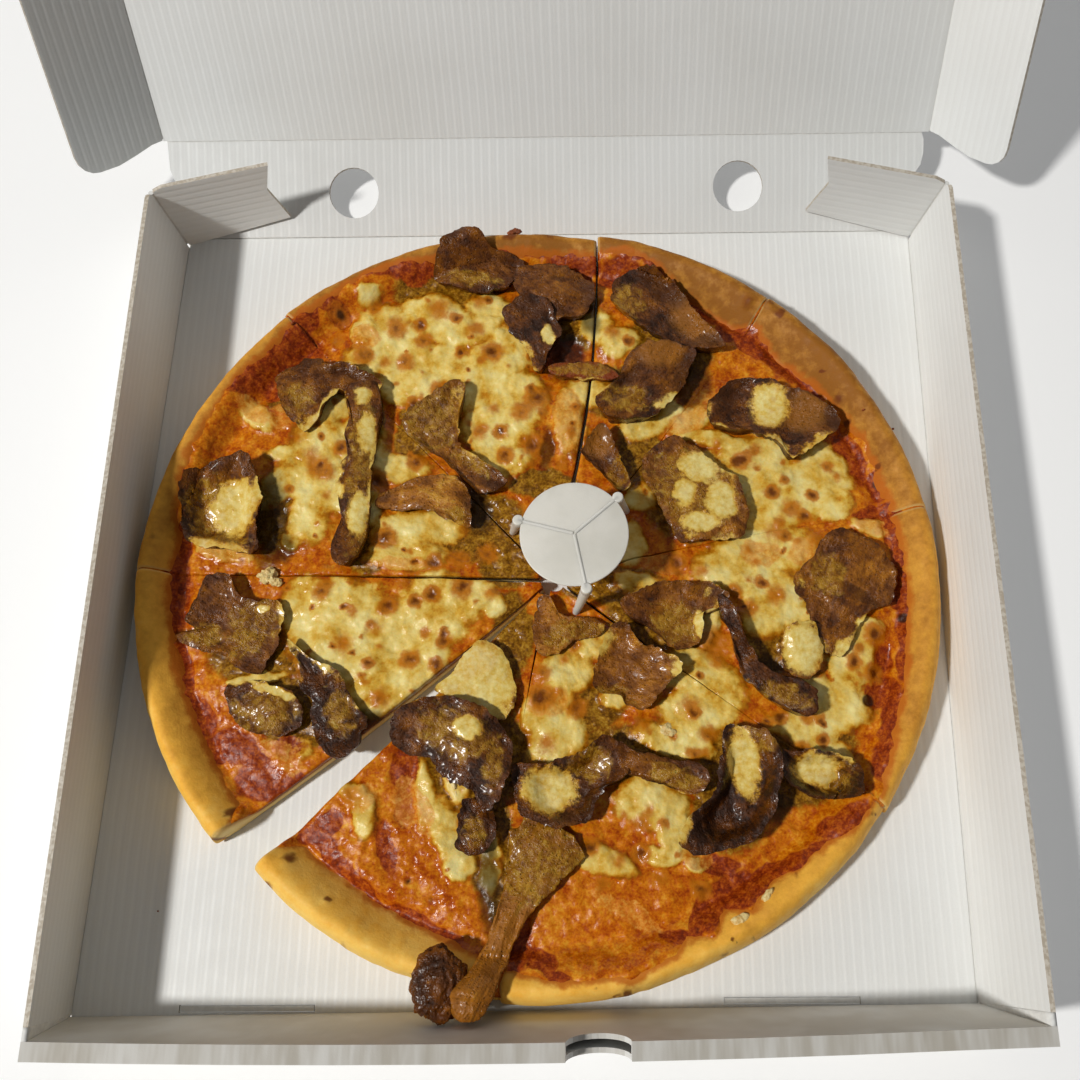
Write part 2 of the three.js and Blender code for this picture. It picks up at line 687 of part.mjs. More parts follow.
function legRod({ angle, foot }, extra) {
  const sole = new THREE.Vector3(...foot, surfaceAt(...foot) - 1);
  return between(shoulderOf(angle), sole, 2 + extra, 1.3 + extra, 8);
}

function saverSolid() {
  const thick = 1.3;
  const plate = new THREE.CylinderGeometry(saverRadius, saverRadius - 0.4, thick, 28);
  plate.rotateX(Math.PI / 2);
  plate.translate(saverX, saverY, saverHeight - thick);
  let solid = toSolid(plate);
  for (const leg of legs) {
    const shoulder = shoulderOf(leg.angle);
    const knobHeight = 3.4;
    const knob = new THREE.CylinderGeometry(2.1, 2.1, knobHeight, 10);
    knob.rotateX(Math.PI / 2);
    knob.translate(shoulder.x, shoulder.y, saverHeight - knobHeight / 2);
    const rib = new THREE.BoxGeometry(saverRadius, 1.6, 1);
    rib.translate(saverRadius / 2, 0, 0);
    rib.rotateZ(rad(leg.angle));
    rib.translate(saverX, saverY, saverHeight - 0.5);
    solid = solid.add(legRod(leg, 0)).add(toSolid(knob)).add(toSolid(rib));
  }
  return solid;
}

function toppings() {
  const below = pizzaBelow();
  const keepOut = legs.reduce((all, leg) => all.add(legRod(leg, 0.5)), below);
  const meshes = [];
  const laid = [];
  const lay = (name, whole) => {
    let solid = whole.subtract(keepOut);
    for (const other of laid) {
      if (!solid.intersect(other).isEmpty()) solid = solid.subtract(other);
    }
    solid = largest(solid);
    laid.push(swollen(solid));
    meshes.push(named(name, toGeometry(solid), meatFinish));
  };
  lay('meat_strip', stripSolid());
  shavings.forEach((shaving, i) => {
    lay(`meat_${String(i + 1).padStart(2, '0')}`, shavingSolid(shaving));
  });
  meshes.push(named('saver', toGeometry(largest(saverSolid().subtract(below))), plasticFinish));
  return meshes;
}

// A solid a little larger all round, for room between it and what is laid against it
function swollen(solid) {
  const room = gap + 0.2;
  const ways = [[1, 0, 0], [-1, 0, 0], [0, 1, 0], [0, -1, 0], [0, 0, 1], [0, 0, -1]];
  return ways.reduce((all, way) => all.add(solid.translate(way.map((part) => part * room))), solid);
}

const group = new THREE.Group();
group.add(floorMesh());
group.add(sideWall('tray_wall_left', -1));
group.add(sideWall('tray_wall_right', 1));
group.add(frontWall());
group.add(cornerTab('rear_tab_left', -1));
group.add(cornerTab('rear_tab_right', 1));
group.add(lidAssembly());
group.add(...pizzaMeshes());
group.add(...toppings());

export default group;
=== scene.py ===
import math

import bmesh
import bpy
import numpy as np
from mathutils import Matrix, Vector, noise


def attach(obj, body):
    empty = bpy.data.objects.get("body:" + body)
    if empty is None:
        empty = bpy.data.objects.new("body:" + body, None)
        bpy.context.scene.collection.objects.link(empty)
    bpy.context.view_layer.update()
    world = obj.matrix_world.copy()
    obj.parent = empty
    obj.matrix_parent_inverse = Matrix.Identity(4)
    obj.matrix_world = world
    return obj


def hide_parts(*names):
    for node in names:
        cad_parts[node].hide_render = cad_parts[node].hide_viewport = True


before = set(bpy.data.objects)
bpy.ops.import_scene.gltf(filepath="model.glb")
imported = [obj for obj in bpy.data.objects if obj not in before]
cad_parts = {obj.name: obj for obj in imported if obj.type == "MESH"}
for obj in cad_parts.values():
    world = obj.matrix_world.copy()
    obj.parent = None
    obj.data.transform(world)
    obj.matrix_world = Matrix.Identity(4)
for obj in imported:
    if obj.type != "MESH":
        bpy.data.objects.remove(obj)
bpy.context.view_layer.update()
scene = bpy.context.scene
mm = 0.001
print("frame loaded:", len(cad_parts), "nodes")


# all lengths are in millimetres until a mesh is made
def lerp(a, b, share):
    return a + (b - a) * share


def smooth(low, high, value):
    t = np.clip((value - low) / (high - low), 0, 1)
    return t * t * (3 - 2 * t)


def grain(x, y, size, seed, octaves=3):
    # soft random bumps between -1 and 1, the largest of them as wide as size
    total, reach, height = 0.0, 0.0, 1.0
    for octave in range(octaves):
        table = np.random.default_rng(seed * 17 + octave).uniform(-1, 1, (64, 64))
        u, v = x / size + 3.7 * seed, y / size - 2.3 * seed
        i, j = np.floor(u).astype(int), np.floor(v).astype(int)
        s, t = u - i, v - j
        s, t = s * s * (3 - 2 * s), t * t * (3 - 2 * t)
        i, j, k, m = i % 64, j % 64, (i + 1) % 64, (j + 1) % 64
        total = total + height * lerp(lerp(table[i, j], table[k, j], s), lerp(table[i, m], table[k, m], s), t)
        reach += height
        height, size = height * 0.55, size / 2.07
    return total / reach


def turnedAxes(x, y, degrees):
    c, s = math.cos(math.radians(degrees)), math.sin(math.radians(degrees))
    return x * c + y * s, y * c - x * s


def spot(x, y, place):
    # 1 in the middle of an oval, 0 at its edge and below 0 outside it; a fifth number turns the oval
    cx, cy, rx, ry, turn = (*place, 0)[:5]
    u, v = turnedAxes(x - cx, y - cy, turn)
    return 1 - np.sqrt((u / rx) ** 2 + (v / ry) ** 2)


def ovals(x, y, places, soft=0.45):
    best = np.full(np.shape(x), -1.0)
    for place in places:
        best = np.maximum(best, spot(x, y, place))
    return smooth(-soft, soft, best)


# the pizza's own shape, the same as in the solids
pizza = dict(
    underside=1.9, dough=5.2, rimWidth=18, rimHeight=15.5, card=1.6, gap=0.3,
    cheese=2.8, cheeseEdge=16.5, tipLength=2.4, crustRadius=149.5,
)
cuts = dict(
    a=(179.2, 0), b=(133.1, 1), c=(80.6, 5), d=(50.8, 0), e=(9.2, -3), f=(-35.1, 1), g=(-93.7, 4), h=(-139.1, -2),
    j=(-132.2, -1),
)
slices = dict(
    slice_1=("a", "h", (5, -3), (149.5, 146.5)),
    slice_2=("b", "a", (4, -0.5), (149.8, 149.5)),
    slice_3=("c", "b", (5, 1), (146, 151)),
    slice_4=("d", "c", (7, 1), (148.5, 148)),
    slice_5=("e", "d", (9, 0), (150.6, 149)),
    slice_6=("f", "e", (10, -2), (151, 150.6)),
    slice_7=("g", "f", (8, -3.5), (148.4, 150)),
    slice_8=("j", "g", (3, -4.5), (142, 147.6)),
)


def swell(x, y, scale, seed):
    a = np.sin(x / scale + seed) * np.cos(y / (scale * 1.13) - seed * 1.7)
    b = np.sin((x + y) / (scale * 0.71) + seed * 2.3) * np.cos((x - y) / (scale * 0.83) + seed)
    return 0.6 * a + 0.4 * b


def doughTop(x, y, inward):
    base = pizza["underside"] + pizza["dough"] + 0.5 * swell(x, y, 23, 1.3)
    share = np.clip(inward / pizza["rimWidth"], 0, 1)
    roll = np.sin(np.pi * share ** 0.62)
    uneven = 1 + 0.1 * swell(x, y, 17, 4.1)
    crown = base + (pizza["rimHeight"] + pizza["card"] - base) * roll * uneven
    edge = 3.4 * (1 - share) ** 2
    return np.where(share >= 1, base, crown - edge * (1 - roll) + 1.2 * (1 - share))


def cheeseThick(x, y, inward):
    thickness = pizza["cheese"] + 0.9 * swell(x, y, 15, 2.2) + 0.6 * swell(x, y, 8, 0.7)
    fade = np.sqrt(np.clip((inward - pizza["cheeseEdge"]) / 7, 0, 1))
    return pizza["gap"] + lerp(0.9, thickness, fade)


def inwardOf(x, y):
    return pizza["crustRadius"] - np.hypot(x, y)


def sliceSpan(name):
    start, end = slices[name][:2]
    return math.radians((cuts[end][0] - cuts[start][0]) % 360)


def sliceRay(name, across):
    # a point of the outer edge, the way from there to the slice's tip and that way's length
    start, end, tip, radii = slices[name]
    fromAngle, toAngle = cuts[start][0], cuts[end][0]
    toAngle += 360 if toAngle < fromAngle else 0
    angle = np.radians(lerp(fromAngle, toAngle, across))
    radius = lerp(*radii, across)
    rimX, rimY = np.cos(angle) * radius, np.sin(angle) * radius
    wayX, wayY = tip[0] - rimX, tip[1] - rimY
    return rimX, rimY, wayX, wayY, np.hypot(wayX, wayY)


def slicePoint(name, across, inward, sideGap):
    rimX, rimY, wayX, wayY, length = sliceRay(name, across)
    rayX, rayY = wayX / length, wayY / length
    bow = lerp(*(cuts[cut][1] for cut in slices[name][:2]), across)
    bend = bow * np.sin(np.pi * np.clip(inward / length, 0, 1))
    sideways = bend + lerp(-1, 1, across) * sideGap / 2
    return rimX + rayX * inward - rayY * sideways, rimY + rayY * inward + rayX * sideways


# what lies where on the pizza: x, y, half lengths and turn of each patch
topping = dict(
    # way round in degrees, and how far in from the outer edge the sauce and cheese begin there
    edge=[
        (-180, 12.5), (-172, 13), (-163, 12.5), (-153, 15), (-147, 14), (-141, 14), (-138, 6), (-133, 8), (-129, 16),
        (-122, 17), (-112, 16), (-104, 15), (-98, 13), (-92, 10), (-87, 7), (-83, 5.5), (-79, 6.5), (-76.5, 3),
        (-74, 5), (-70, 6), (-67, 10), (-64, 7), (-61, 12), (-58, 8), (-53, 12), (-48, 9), (-44, 8), (-39, 5),
        (-34, 5), (-30, 7), (-25, 8.5), (-18, 11), (-10, 11.5), (0, 12), (8, 13), (12, 12), (20, 13), (30, 14),
        (38, 15.5), (45, 17), (50, 13), (53, 17.5), (58, 17), (64, 15), (69, 9), (75, 7), (81, 9), (90, 9.5),
        (100, 9), (108, 8), (114, 5), (120, 5), (126, 6), (132, 6), (137, 7), (145, 6.5), (155, 7), (163, 8),
        (170, 11), (176, 13.5), (180, 12.5),
    ],
    cream=[
        (-70, -22, 24, 20, -30), (-48, -30, 17, 22, 20), (-36, -12, 16, 14), (-84, -12, 11, 13, 20),
        (-57, -44, 12, 9, 20), (-22, -8, 9, 7), (-15, -12, 5, 5), (-83, 56, 13, 9, -20), (-83, 69, 8, 9, 50),
        (-79, 34, 10, 14, 80), (-88, 22, 7, 9), (-93, 14, 4, 4), (-54, 44, 7, 13, 85), (-64, 28, 6, 9),
        (-44, 18, 18, 8), (-48, 8, 16, 6), (-110, 66, 8, 5, -30), (-118, 11, 12, 4, -15), (-98, 50, 8, 4),
        (-100, 36, 10, 6, 60), (-88, 44, 13, 15), (-86, 24, 8, 12), (-68, 52, 10, 14, 10), (-55, 95, 15, 13),
        (-62, 106, 12, 9), (-44, 112, 12, 8), (-50, 79, 14, 10), (-38, 88, 12, 10), (-20, 84, 13, 20, -35),
        (-10, 95, 8, 12, 30), (-8, 72, 13, 13), (-16, 60, 15, 12), (-14, 46, 13, 7), (-70, 90, 9, 7, -30),
        (-32, 104, 16, 9), (-68, 118, 5, 5), (-20, 112, 10, 8), (-72, 102, 5, 6), (24, 104, 7, 8),
        (22, 76, 10, 7, -20), (13, 62, 6, 15), (43, 61, 12, 6, 20), (52, 66, 6, 5), (32, 97, 9, 6, 20),
        (90, 64, 10, 10), (92, 38, 24, 16, -15), (110, 40, 14, 13), (68, 54, 16, 4, -12), (86, 24, 16, 8),
        (62, 38, 12, 12), (72, 25, 11, 9), (58, 18, 7, 6), (112, 28, 9, 7), (60, 62, 9, 6, 35), (85, 8, 22, 10, 10),
        (74, 1, 15, 9, -10), (88, -8, 14, 12, -40), (83, -17, 9, 9), (98, -18, 5, 5), (127, 18, 8, 4, -20),
        (98, -29, 8, 9), (100, -45, 8, 7), (115, -34, 8, 13, -20), (109, -50, 13, 10), (98, -58, 11, 8),
        (105, -68, 9, 6), (65, -15, 4, 9), (122, -22, 6, 5), (62, -22, 4, 6), (60, -38, 17, 9, -20),
        (60, -51, 16, 10, 10), (50, -61, 15, 6, -15), (42, -84, 14, 9, -15), (50, -93, 6, 9), (46, -101, 7, 4),
        (92, -56, 11, 4), (57, -104, 5, 3), (8, -60, 11, 11), (13, -37, 10, 8), (21, -27, 9, 6), (0, -52, 5, 8),
        (26, -103, 12, 5, -20), (8, -46, 8, 6), (30, -46, 6, 5), (-38, -80, 4, 13, 10), (-29, -92, 6, 13, 25),
        (-24, -104, 6, 5), (-27, -77, 4, 6, 35), (-58, -86, 4, 9, 10), (-62, -79, 5, 4), (-14, -103, 4, 10),
        (-100, -39, 12, 2.6, 12), (-84, -63, 6, 4, -30), (38, -4, 10, 5, -20), (36, 12, 6, 8), (40, 30, 6, 6),
    ],
    pink=[
        (-20, -33, 9, 6, 40), (-111, 68, 8, 4, -30), (-117, 10, 11, 3.5, -12), (-50, 5, 11, 2.6), (64, 68, 9, 5, 35),
        (58, 61, 8, 5, 20), (13, 62, 6, 14), (127, 18, 7, 3.5, -20), (84, 8, 8, 5), (-44, -82, 5, 9, 10),
        (-37, -88, 3, 8, 15), (-60, -80, 6, 5), (-88, -66, 9, 5, -35), (5, -48, 8, 6), (48, 4, 10, 4, -15),
        (102, 8, 8, 6), (57, -102, 6, 4), (-66, -66, 5, 4), (-100, 66, 6, 5), (-70, 100, 6, 6),
        (33, -119, 14, 3, -30),
    ],
    sauce=[
        (-107, 87, 14, 10, 40), (-97, 98, 12, 6, -30), (-117, 80, 7, 6, 60), (-138, 30, 3, 16, -5),
        (-136, 46, 2.6, 9, -12), (-131, 66, 2, 10, -28), (-104, 80, 6, 8), (-84, 121, 9, 4, 35),
        (-68, 130, 7, 3.4, 20), (-55, 129, 13, 5, -5), (-44, 133, 9, 4, 10), (-93, 105, 4, 9, -20),
        (-80, 110, 4, 4.5), (-86, 116, 6, 5), (0, 138, 18, 4, -5), (13, 132, 9, 5), (18, 128, 3, 9), (22, 135, 3, 6),
        (10, 91, 8, 8), (38, 137, 14, 4, -18), (33, 128, 9, 6), (50, 129, 7, 5, -40), (66, 113, 11, 6, -38),
        (77, 104, 5, 9, -20), (87, 95, 11, 5, -30), (100, 87, 13, 7, -45), (108, 77, 6, 6), (82, 100, 6, 4),
        (122, 46, 4, 12, 20), (131, 34, 3.4, 6, 10), (128, 24, 8, 2.6, 10), (118, 52, 4, 5), (134, 18, 4, 9, 5),
        (136, 5, 3.4, 9), (136, -10, 4, 7), (136, -22, 4, 11, -10), (134, -34, 3.4, 9, -10), (125, -45, 6, 6),
        (128, -57, 5, 11, -20), (123, -69, 4, 9, -25), (131, -53, 3, 8, -15), (127, -33, 3, 5), (72, -112, 13, 6, 15),
        (64, -104, 7, 4), (92, -103, 12, 3.6, 25), (82, -107, 8, 4, 20), (48, -127, 5, 2.6), (60, -119, 5, 6),
        (110, -88, 7, 4, 40), (3, -134, 7, 3, -10), (56, -124, 3, 5), (-5, -128, 5, 10, 10), (104, -93, 5, 4),
        (10, -139, 6, 2, -20), (52, 4, 5, 4, -30), (-57, -112, 14, 3.4, -48), (-69, -100, 9, 4, -58),
        (-42, -121, 11, 3.4, -22), (-31, -126, 8, 2.6, -20), (-71, -90, 6, 4, 40), (-45, -84, 3, 7, 10),
        (-46, -71, 5, 8), (-77, -93, 5, 4), (-50, -98, 3, 10, 10), (-134, -8, 6, 17), (-127, -38, 3.4, 15, 12),
        (-120, -51, 5, 9, 35), (-103, -64, 11, 5, -35), (-97, -75, 9, 6, -20), (-86, -63, 5, 5), (-112, -63, 4, 6),
        (-84, -76, 6, 4, 20), (-133, 14, 3, 7, 10),
    ],
    olive=[
        (-46, 60, 9, 16, -20), (-22, 20, 20, 14), (-10, 6, 12, 12), (-8, -22, 8, 16), (-100, 26, 10, 16),
        (-62, 12, 8, 12), (-66, 62, 6, 14), (4, 36, 14, 6), (28, -4, 20, 8), (30, 76, 14, 12), (60, 30, 20, 18),
        (46, -20, 22, 12, -20), (84, -28, 10, 12), (100, -62, 16, 14), (30, -66, 24, 10), (20, -50, 14, 8),
        (70, -78, 14, 22), (-24, -66, 24, 20), (-14, -96, 8, 20), (-100, -26, 20, 16), (-86, -50, 20, 12, -20),
        (-96, 76, 12, 10), (-38, 120, 22, 10), (14, 108, 12, 16), (54, 96, 18, 18), (40, 48, 10, 16),
        (-10, -112, 5, 22, 5), (90, -76, 16, 10),
    ],
    # hollows and spots beside raised pieces where shade falls: painted shade, with the topping a little thinner there
    shadowed=[
        (11, 92, 7, 12), (20, 112, 4, 12, 10), (-101, 22, 7, 20, 5), (-97, 12, 6, 6), (-66, 60, 4, 18),
        (-22, 27, 6, 10, 20), (-28, -60, 8, 5), (62, 76, 6, 9, -40), (55, 82, 5, 10, -50), (-14, -112, 4, 18, 5),
        (84, -84, 5, 7, 20), (24, 27, 4, 8), (84, -38, 6, 6), (-128, -22, 5, 2.4, 20), (36, -14, 7, 3, -45),
        (-60, -55, 8, 5), (4, 50, 3, 9),
    ],
    toast=[
        (-59, -20, 3.4), (-67, -14, 2.2), (-70, -26, 3.6), (-54, -12, 3.2), (-79, -6, 3.2), (-60, -33, 2),
        (-55, -46, 3.2), (-45, -32, 3.2), (-33, -25, 2.6), (-27, -5, 3.6), (-38, -8, 2.6), (-35, -34, 2.6),
        (-16, -7, 2.6), (-62, -38, 1.5), (-56, -27, 1.5), (-44, -10, 2.2), (-40, -22, 2), (-50, -3, 2.4),
        (-57, 104, 4.2), (-66, 113, 3.2), (-82, 100, 3.8), (-80, 110, 4.4), (-70, 92, 3.8), (-61, 89, 2.2),
        (-53, 89, 3.2), (-40, 112, 4.6), (-24, 116, 3.2), (-25, 103, 3.8), (-38, 76, 3.8), (-48, 71, 3.2),
        (-44, 62, 3), (-6, 66, 3.8), (0, 72, 4.2), (-17, 68, 2.6), (-22, 58, 3), (-14, 58, 2.6), (-27, 62, 1.6),
        (-1, 52, 4.2), (-48, 105, 2.2), (-33, 108, 2.2), (-46, 98, 3), (-18, 93, 3.8), (-31, 93, 2.2), (-12, 48, 3),
        (-84, 44, 4), (-80, 41, 3), (-62, 38, 4), (-80, 32, 2), (-57, 15, 4), (-38, 5, 3), (-28, 6, 3.6),
        (-18, 9, 3.6), (-65, 35, 2), (-93, 57, 2.4), (-88, 50, 3), (-76, 52, 2.6), (-47, 46, 3), (-68, 43, 2.6),
        (79, 45, 3.2), (90, 32, 2.6), (97, 25, 3.6), (85, 42, 1.6), (95, 37, 2), (112, 42, 2.4), (105, 30, 2.2),
        (92, 20, 2), (76, 25, 5), (73, 35, 3), (102, 22, 2), (115, 38, 2), (90, 16, 4), (84, 49, 2.4), (88, 56, 2),
        (70, 52, 2), (100, 46, 2), (66, 30, 3), (89, -9, 3.4), (84, -4, 2.2), (79, -14, 3), (74, -7, 2.4),
        (82, 4, 1.6), (105, 13, 3), (98, 12, 2), (62, 1, 3), (53, 4, 3.4), (65, -26, 5), (67, -33, 3),
        (116, -34, 2.6), (123, -38, 3), (124, -24, 3.2), (118, -29, 2), (102, -37, 2.6), (94, 14, 2), (80, 9, 2),
        (56, -50, 3.8), (62, -60, 3), (57, -67, 2.2), (50, -60, 1.6), (40, -56, 2.8), (98, -53, 3), (88, -54, 2.6),
        (95, -66, 3), (5, -63, 3.4), (12, -76, 2.6), (17, -71, 3), (38, -90, 2.8), (45, -91, 1.8), (41, -86, 2.2),
        (20, -98, 2.8), (30, -102, 2.8), (38, -100, 2.6), (15, -27, 2.2), (3, -37, 3), (11, -32, 2.2), (3, -46, 4),
        (16, -50, 3.6), (32, -88, 1.6), (-22, -90, 3.2), (-63, -80, 3.2), (30, 101, 3.2), (36, 97, 2), (10, 45, 2.6),
        (13, 57, 2.2), (15, 68, 1.8), (24, -110, 2.6), (44, -108, 3), (58, -112, 3), (103, -62, 2.2),
    ],
    burnt=[
        (-42, -109, 1.9), (-34, -115, 2.2), (34, 136, 1.2), (-92, 112, 1.2), (-80, 110, 2.2), (131, 35, 2.4),
        (135, -18, 2), (62, -105, 1.6), (-65, -118, 1), (120, -48, 2.4), (56, -125, 1.6),
    ],
    # more small toasted specks: how many, the seed and their sizes
    specks=(430, 5, (0.7, 1.7)),
)

edgeTurns, edgeReach = np.array(topping["edge"]).T


def toppingEdge(x, y):
    turn = np.degrees(np.arctan2(y, x))
    ragged = 1.1 * grain(x, y, 9, 3) + 0.8 * grain(x, y, 3.4, 4, 2)
    return np.interp(turn, edgeTurns, edgeReach) + ragged


def seededSpots(count, seed, sizes):
    # small round spots wherever the cheese is cream
    rng = np.random.default_rng(seed)
    x, y = rng.uniform(-135, 135, (2, count))
    keep = (np.hypot(x, y) < 131) & (ovals(x, y, topping["cream"]) > 0.6)
    return [(a, b, r) for a, b, r in zip(x[keep], y[keep], rng.uniform(*sizes, count)[keep])]


def spotField(x, y, spots, warp=0.5):
    # how deep in a ragged spot each point is: 1 in its middle, 0 outside; spots that touch run together
    u, v = x + warp * grain(x, y, 3.1, 21, 3), y + warp * grain(x, y, 3.1, 22, 3)
    left = np.ones(np.shape(x))
    for cx, cy, r in spots:
        near = (np.abs(u - cx) < r * 1.7) & (np.abs(v - cy) < r * 1.7)
        if not near.any():
            continue
        depth = 1 - np.hypot(u[near] - cx, v[near] - cy) / (r * 1.6)
        strength = 0.55 + 0.45 * math.sin(37.7 * cx + 71.3 * cy + 5 * r)
        left[near] *= 1 - np.clip(depth, 0, 1) * lerp(0.4, 1.15, strength)
    return np.clip(1 - left, 0, 1)


toastSpots = topping["toast"] + seededSpots(*topping["specks"])


def masks(x, y):
    # what each point of the topping is made of
    u = x + 1.9 * grain(x, y, 8, 11) + 0.8 * grain(x, y, 2.6, 13, 2)
    v = y + 1.9 * grain(x, y, 8, 12) + 0.8 * grain(x, y, 2.6, 14, 2)
    found = {kind: ovals(u, v, topping[kind], 0.34) for kind in ("cream", "pink", "sauce", "olive", "shadowed")}
    found["toast"] = spotField(x, y, toastSpots, 1.3)
    found["burnt"] = spotField(x, y, topping["burnt"])
    found["cream"] = found["cream"] * (1 - 0.7 * found["sauce"])
    return found


def toppingThick(x, y, inward, found):
    edge = toppingEdge(x, y)
    cover = np.sqrt(smooth(0, 5, inward - edge))
    body = cheeseThick(x, y, inward) + 1.4 * found["cream"] - 0.5 * found["sauce"] - 0.6 * found["shadowed"]
    lumps = 0.85 * grain(x, y, 9, 31) + 0.42 * grain(x, y, 3.4, 32, 2) + 0.16 * grain(x, y, 1.6, 33, 2)
    domes = 0.35 * found["toast"] - 0.3 * smooth(0.5, 0.8, found["toast"])
    return lerp(-0.7, np.maximum(body + lumps + domes, 0.35), cover)


# where the camera stands, its turns in radians, its focal length, frame and shift in pixels, its sensor's width
view = dict(
    place=(28.285, -117.648, 399.013), yaw=0.030056, pitch=0.325706, roll=-0.037677,
    focal=1088.36, frame=1080, shift=60, sensor=36,
)


def finishMesh(name, bm, smoothShaded=True, sharpFrom=42):
    bmesh.ops.recalc_face_normals(bm, faces=bm.faces)
    mesh = bpy.data.meshes.new(name)
    bm.to_mesh(mesh)
    bm.free()
    mesh.polygons.foreach_set("use_smooth", [smoothShaded] * len(mesh.polygons))
    if smoothShaded and sharpFrom:
        mesh.set_sharp_from_angle(angle=math.radians(sharpFrom))
    return mesh


def addMarks(mesh, marks):
    # what the materials read at each point
    for kind, values in marks.items():
        layer = mesh.attributes.new(kind, "FLOAT", "POINT")
        layer.data.foreach_set("value", np.asarray(values, np.float32))


def drapedBody(name, columns, rows, levels, place, sharpFrom=None):
    # a grid whose border is drawn down in levels and closed below; place gives its points and marks
    bm = bmesh.new()
    bmesh.ops.create_grid(bm, x_segments=columns, y_segments=rows, size=1)
    border = [e for e in bm.edges if e.is_boundary]
    for level in range(1, levels + 1):
        made = bmesh.ops.extrude_edge_only(bm, edges=border)["geom"]
        fresh = [v for v in made if isinstance(v, bmesh.types.BMVert)]
        for v in fresh:
            v.co.z = -level
        inside = set(fresh)
        border = [e for e in made if isinstance(e, bmesh.types.BMEdge) and set(e.verts) <= inside]
    grid = np.array([v.co[:] for v in bm.verts])
    points, marks = place(grid[:, 0], grid[:, 1], -grid[:, 2])
    for v, p in zip(bm.verts, points * mm):
        v.co = p
    sole = bmesh.ops.edgeloop_fill(bm, edges=border)["faces"]
    bmesh.ops.triangulate(bm, faces=sole)
    mesh = finishMesh(name, bm, sharpFrom=sharpFrom)
    addMarks(mesh, marks)
    return mesh


def addObject(name, data):
    made = bpy.data.objects.new(name, data)
    scene.collection.objects.link(made)
    return made


def addPiece(name, mesh, material, body="tray", stands=()):
    piece = addObject(name, mesh)
    mesh.materials.append(material)
    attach(piece, body)
    if stands:
        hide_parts(*stands)


def tone(red, green, blue):
    def linear(part):
        part /= 255
        return part / 12.92 if part <= 0.04045 else ((part + 0.055) / 1.055) ** 2.4
    return (linear(red), linear(green), linear(blue), 1)


def shades(*stops):
    # where each colour of a ramp lies, and its red, green and blue
    return [(at, tone(*colour)) for at, *colour in stops]


class Nodes:
    # short ways to put nodes in a tree and wire them up
    def __init__(self, tree):
        self.tree = tree

    def feed(self, sockets, values):
        for key, value in values.items():
            if isinstance(value, bpy.types.NodeSocket):
                self.tree.links.new(value, sockets[key])
            else:
                sockets[key].default_value = value

    def put(self, kind, inputs, out=0, **settings):
        made = self.tree.nodes.new("ShaderNode" + kind)
        for key, value in settings.items():
            setattr(made, key, value)
        self.feed(made.inputs, inputs)
        return made.outputs[out]

    def place(self):
        return self.put("TexCoord", {}, "Object")

    def mark(self, name):
        return self.put("Attribute", {}, "Fac", attribute_name=name)

    def noise(self, size, detail=2.0, rough=0.5, at=None, distort=0.0):
        inputs = {"Vector": at or self.place(), "Scale": 1000 / size, "Detail": detail, "Roughness": rough}
        return self.put("TexNoise", {**inputs, "Distortion": distort})

    def math(self, operation, a, b=0.0, c=0.0):
        return self.put("Math", {0: a, 1: b, 2: c}, operation=operation)

    def times(self, a, b):
        return self.math("MULTIPLY", a, b)

    def plus(self, a, share, rest):
        return self.math("MULTIPLY_ADD", a, share, rest)

    def sway(self, field, amount, rest):
        # a noise field about its own middle, laid over the rest
        return self.plus(self.math("SUBTRACT", field, 0.5), amount, rest)

    def dot(self, a, b):
        return self.put("VectorMath", {0: a, 1: b}, "Value", operation="DOT_PRODUCT")

    def ease(self, value, low, high, start=0.0, end=1.0):
        inputs = {0: value, 1: low, 2: high, 3: start, 4: end}
        return self.put("MapRange", inputs, interpolation_type="SMOOTHSTEP")

    def mix(self, share, a, b, blend="MIX"):
        return self.put("Mix", {0: share, 6: a, 7: b}, 2, data_type="RGBA", blend_type=blend)

    def multiply(self, share, a, b):
        return self.mix(share, a, b, "MULTIPLY")

    def ramp(self, value, stops):
        made = self.tree.nodes.new("ShaderNodeValToRGB")
        elements = made.color_ramp.elements
        while len(elements) < len(stops):
            elements.new(0.5)
        for element, (at, colour) in zip(elements, stops):
            element.position = at
            element.color = colour
        self.tree.links.new(value, made.inputs[0])
        return made.outputs[0]

    def speckle(self, share, base, field, dark, low=0.3, high=0.6):
        # the base, darker wherever the field is low
        return self.multiply(share, base, self.ramp(field, [(low, dark), (high, (1, 1, 1, 1))]))

    def bump(self, height, distance):
        return self.put("Bump", {"Strength": 1.0, "Distance": distance * mm, "Height": height})


def newMaterial(name, constants):
    material = bpy.data.materials.new(name)
    material.use_nodes = True
    shader = material.node_tree.nodes["Principled BSDF"]
    kit = Nodes(material.node_tree)
    kit.feed(shader.inputs, constants)
    return material, kit, shader


def seeping(weight, reach, scale):
    # light that goes a little way in: how much of it, how far in red, green and blue, and the scale in metres
    return {"Subsurface Weight": weight, "Subsurface Radius": reach, "Subsurface Scale": scale}


def newGroup(name, inputs, outputs):
    tree = bpy.data.node_groups.new(name, "ShaderNodeTree")
    for way, sockets in (("INPUT", inputs), ("OUTPUT", outputs)):
        for socket, kind in sockets:
            tree.interface.new_socket(socket, in_out=way, socket_type="NodeSocket" + kind)
    return tree, Nodes(tree), tree.nodes.new("NodeGroupInput").outputs, tree.nodes.new("NodeGroupOutput").inputs


def useGroup(kit, tree, inputs):
    made = kit.tree.nodes.new("ShaderNodeGroup")
    made.node_tree = tree
    kit.feed(made.inputs, inputs)
    return made.outputs


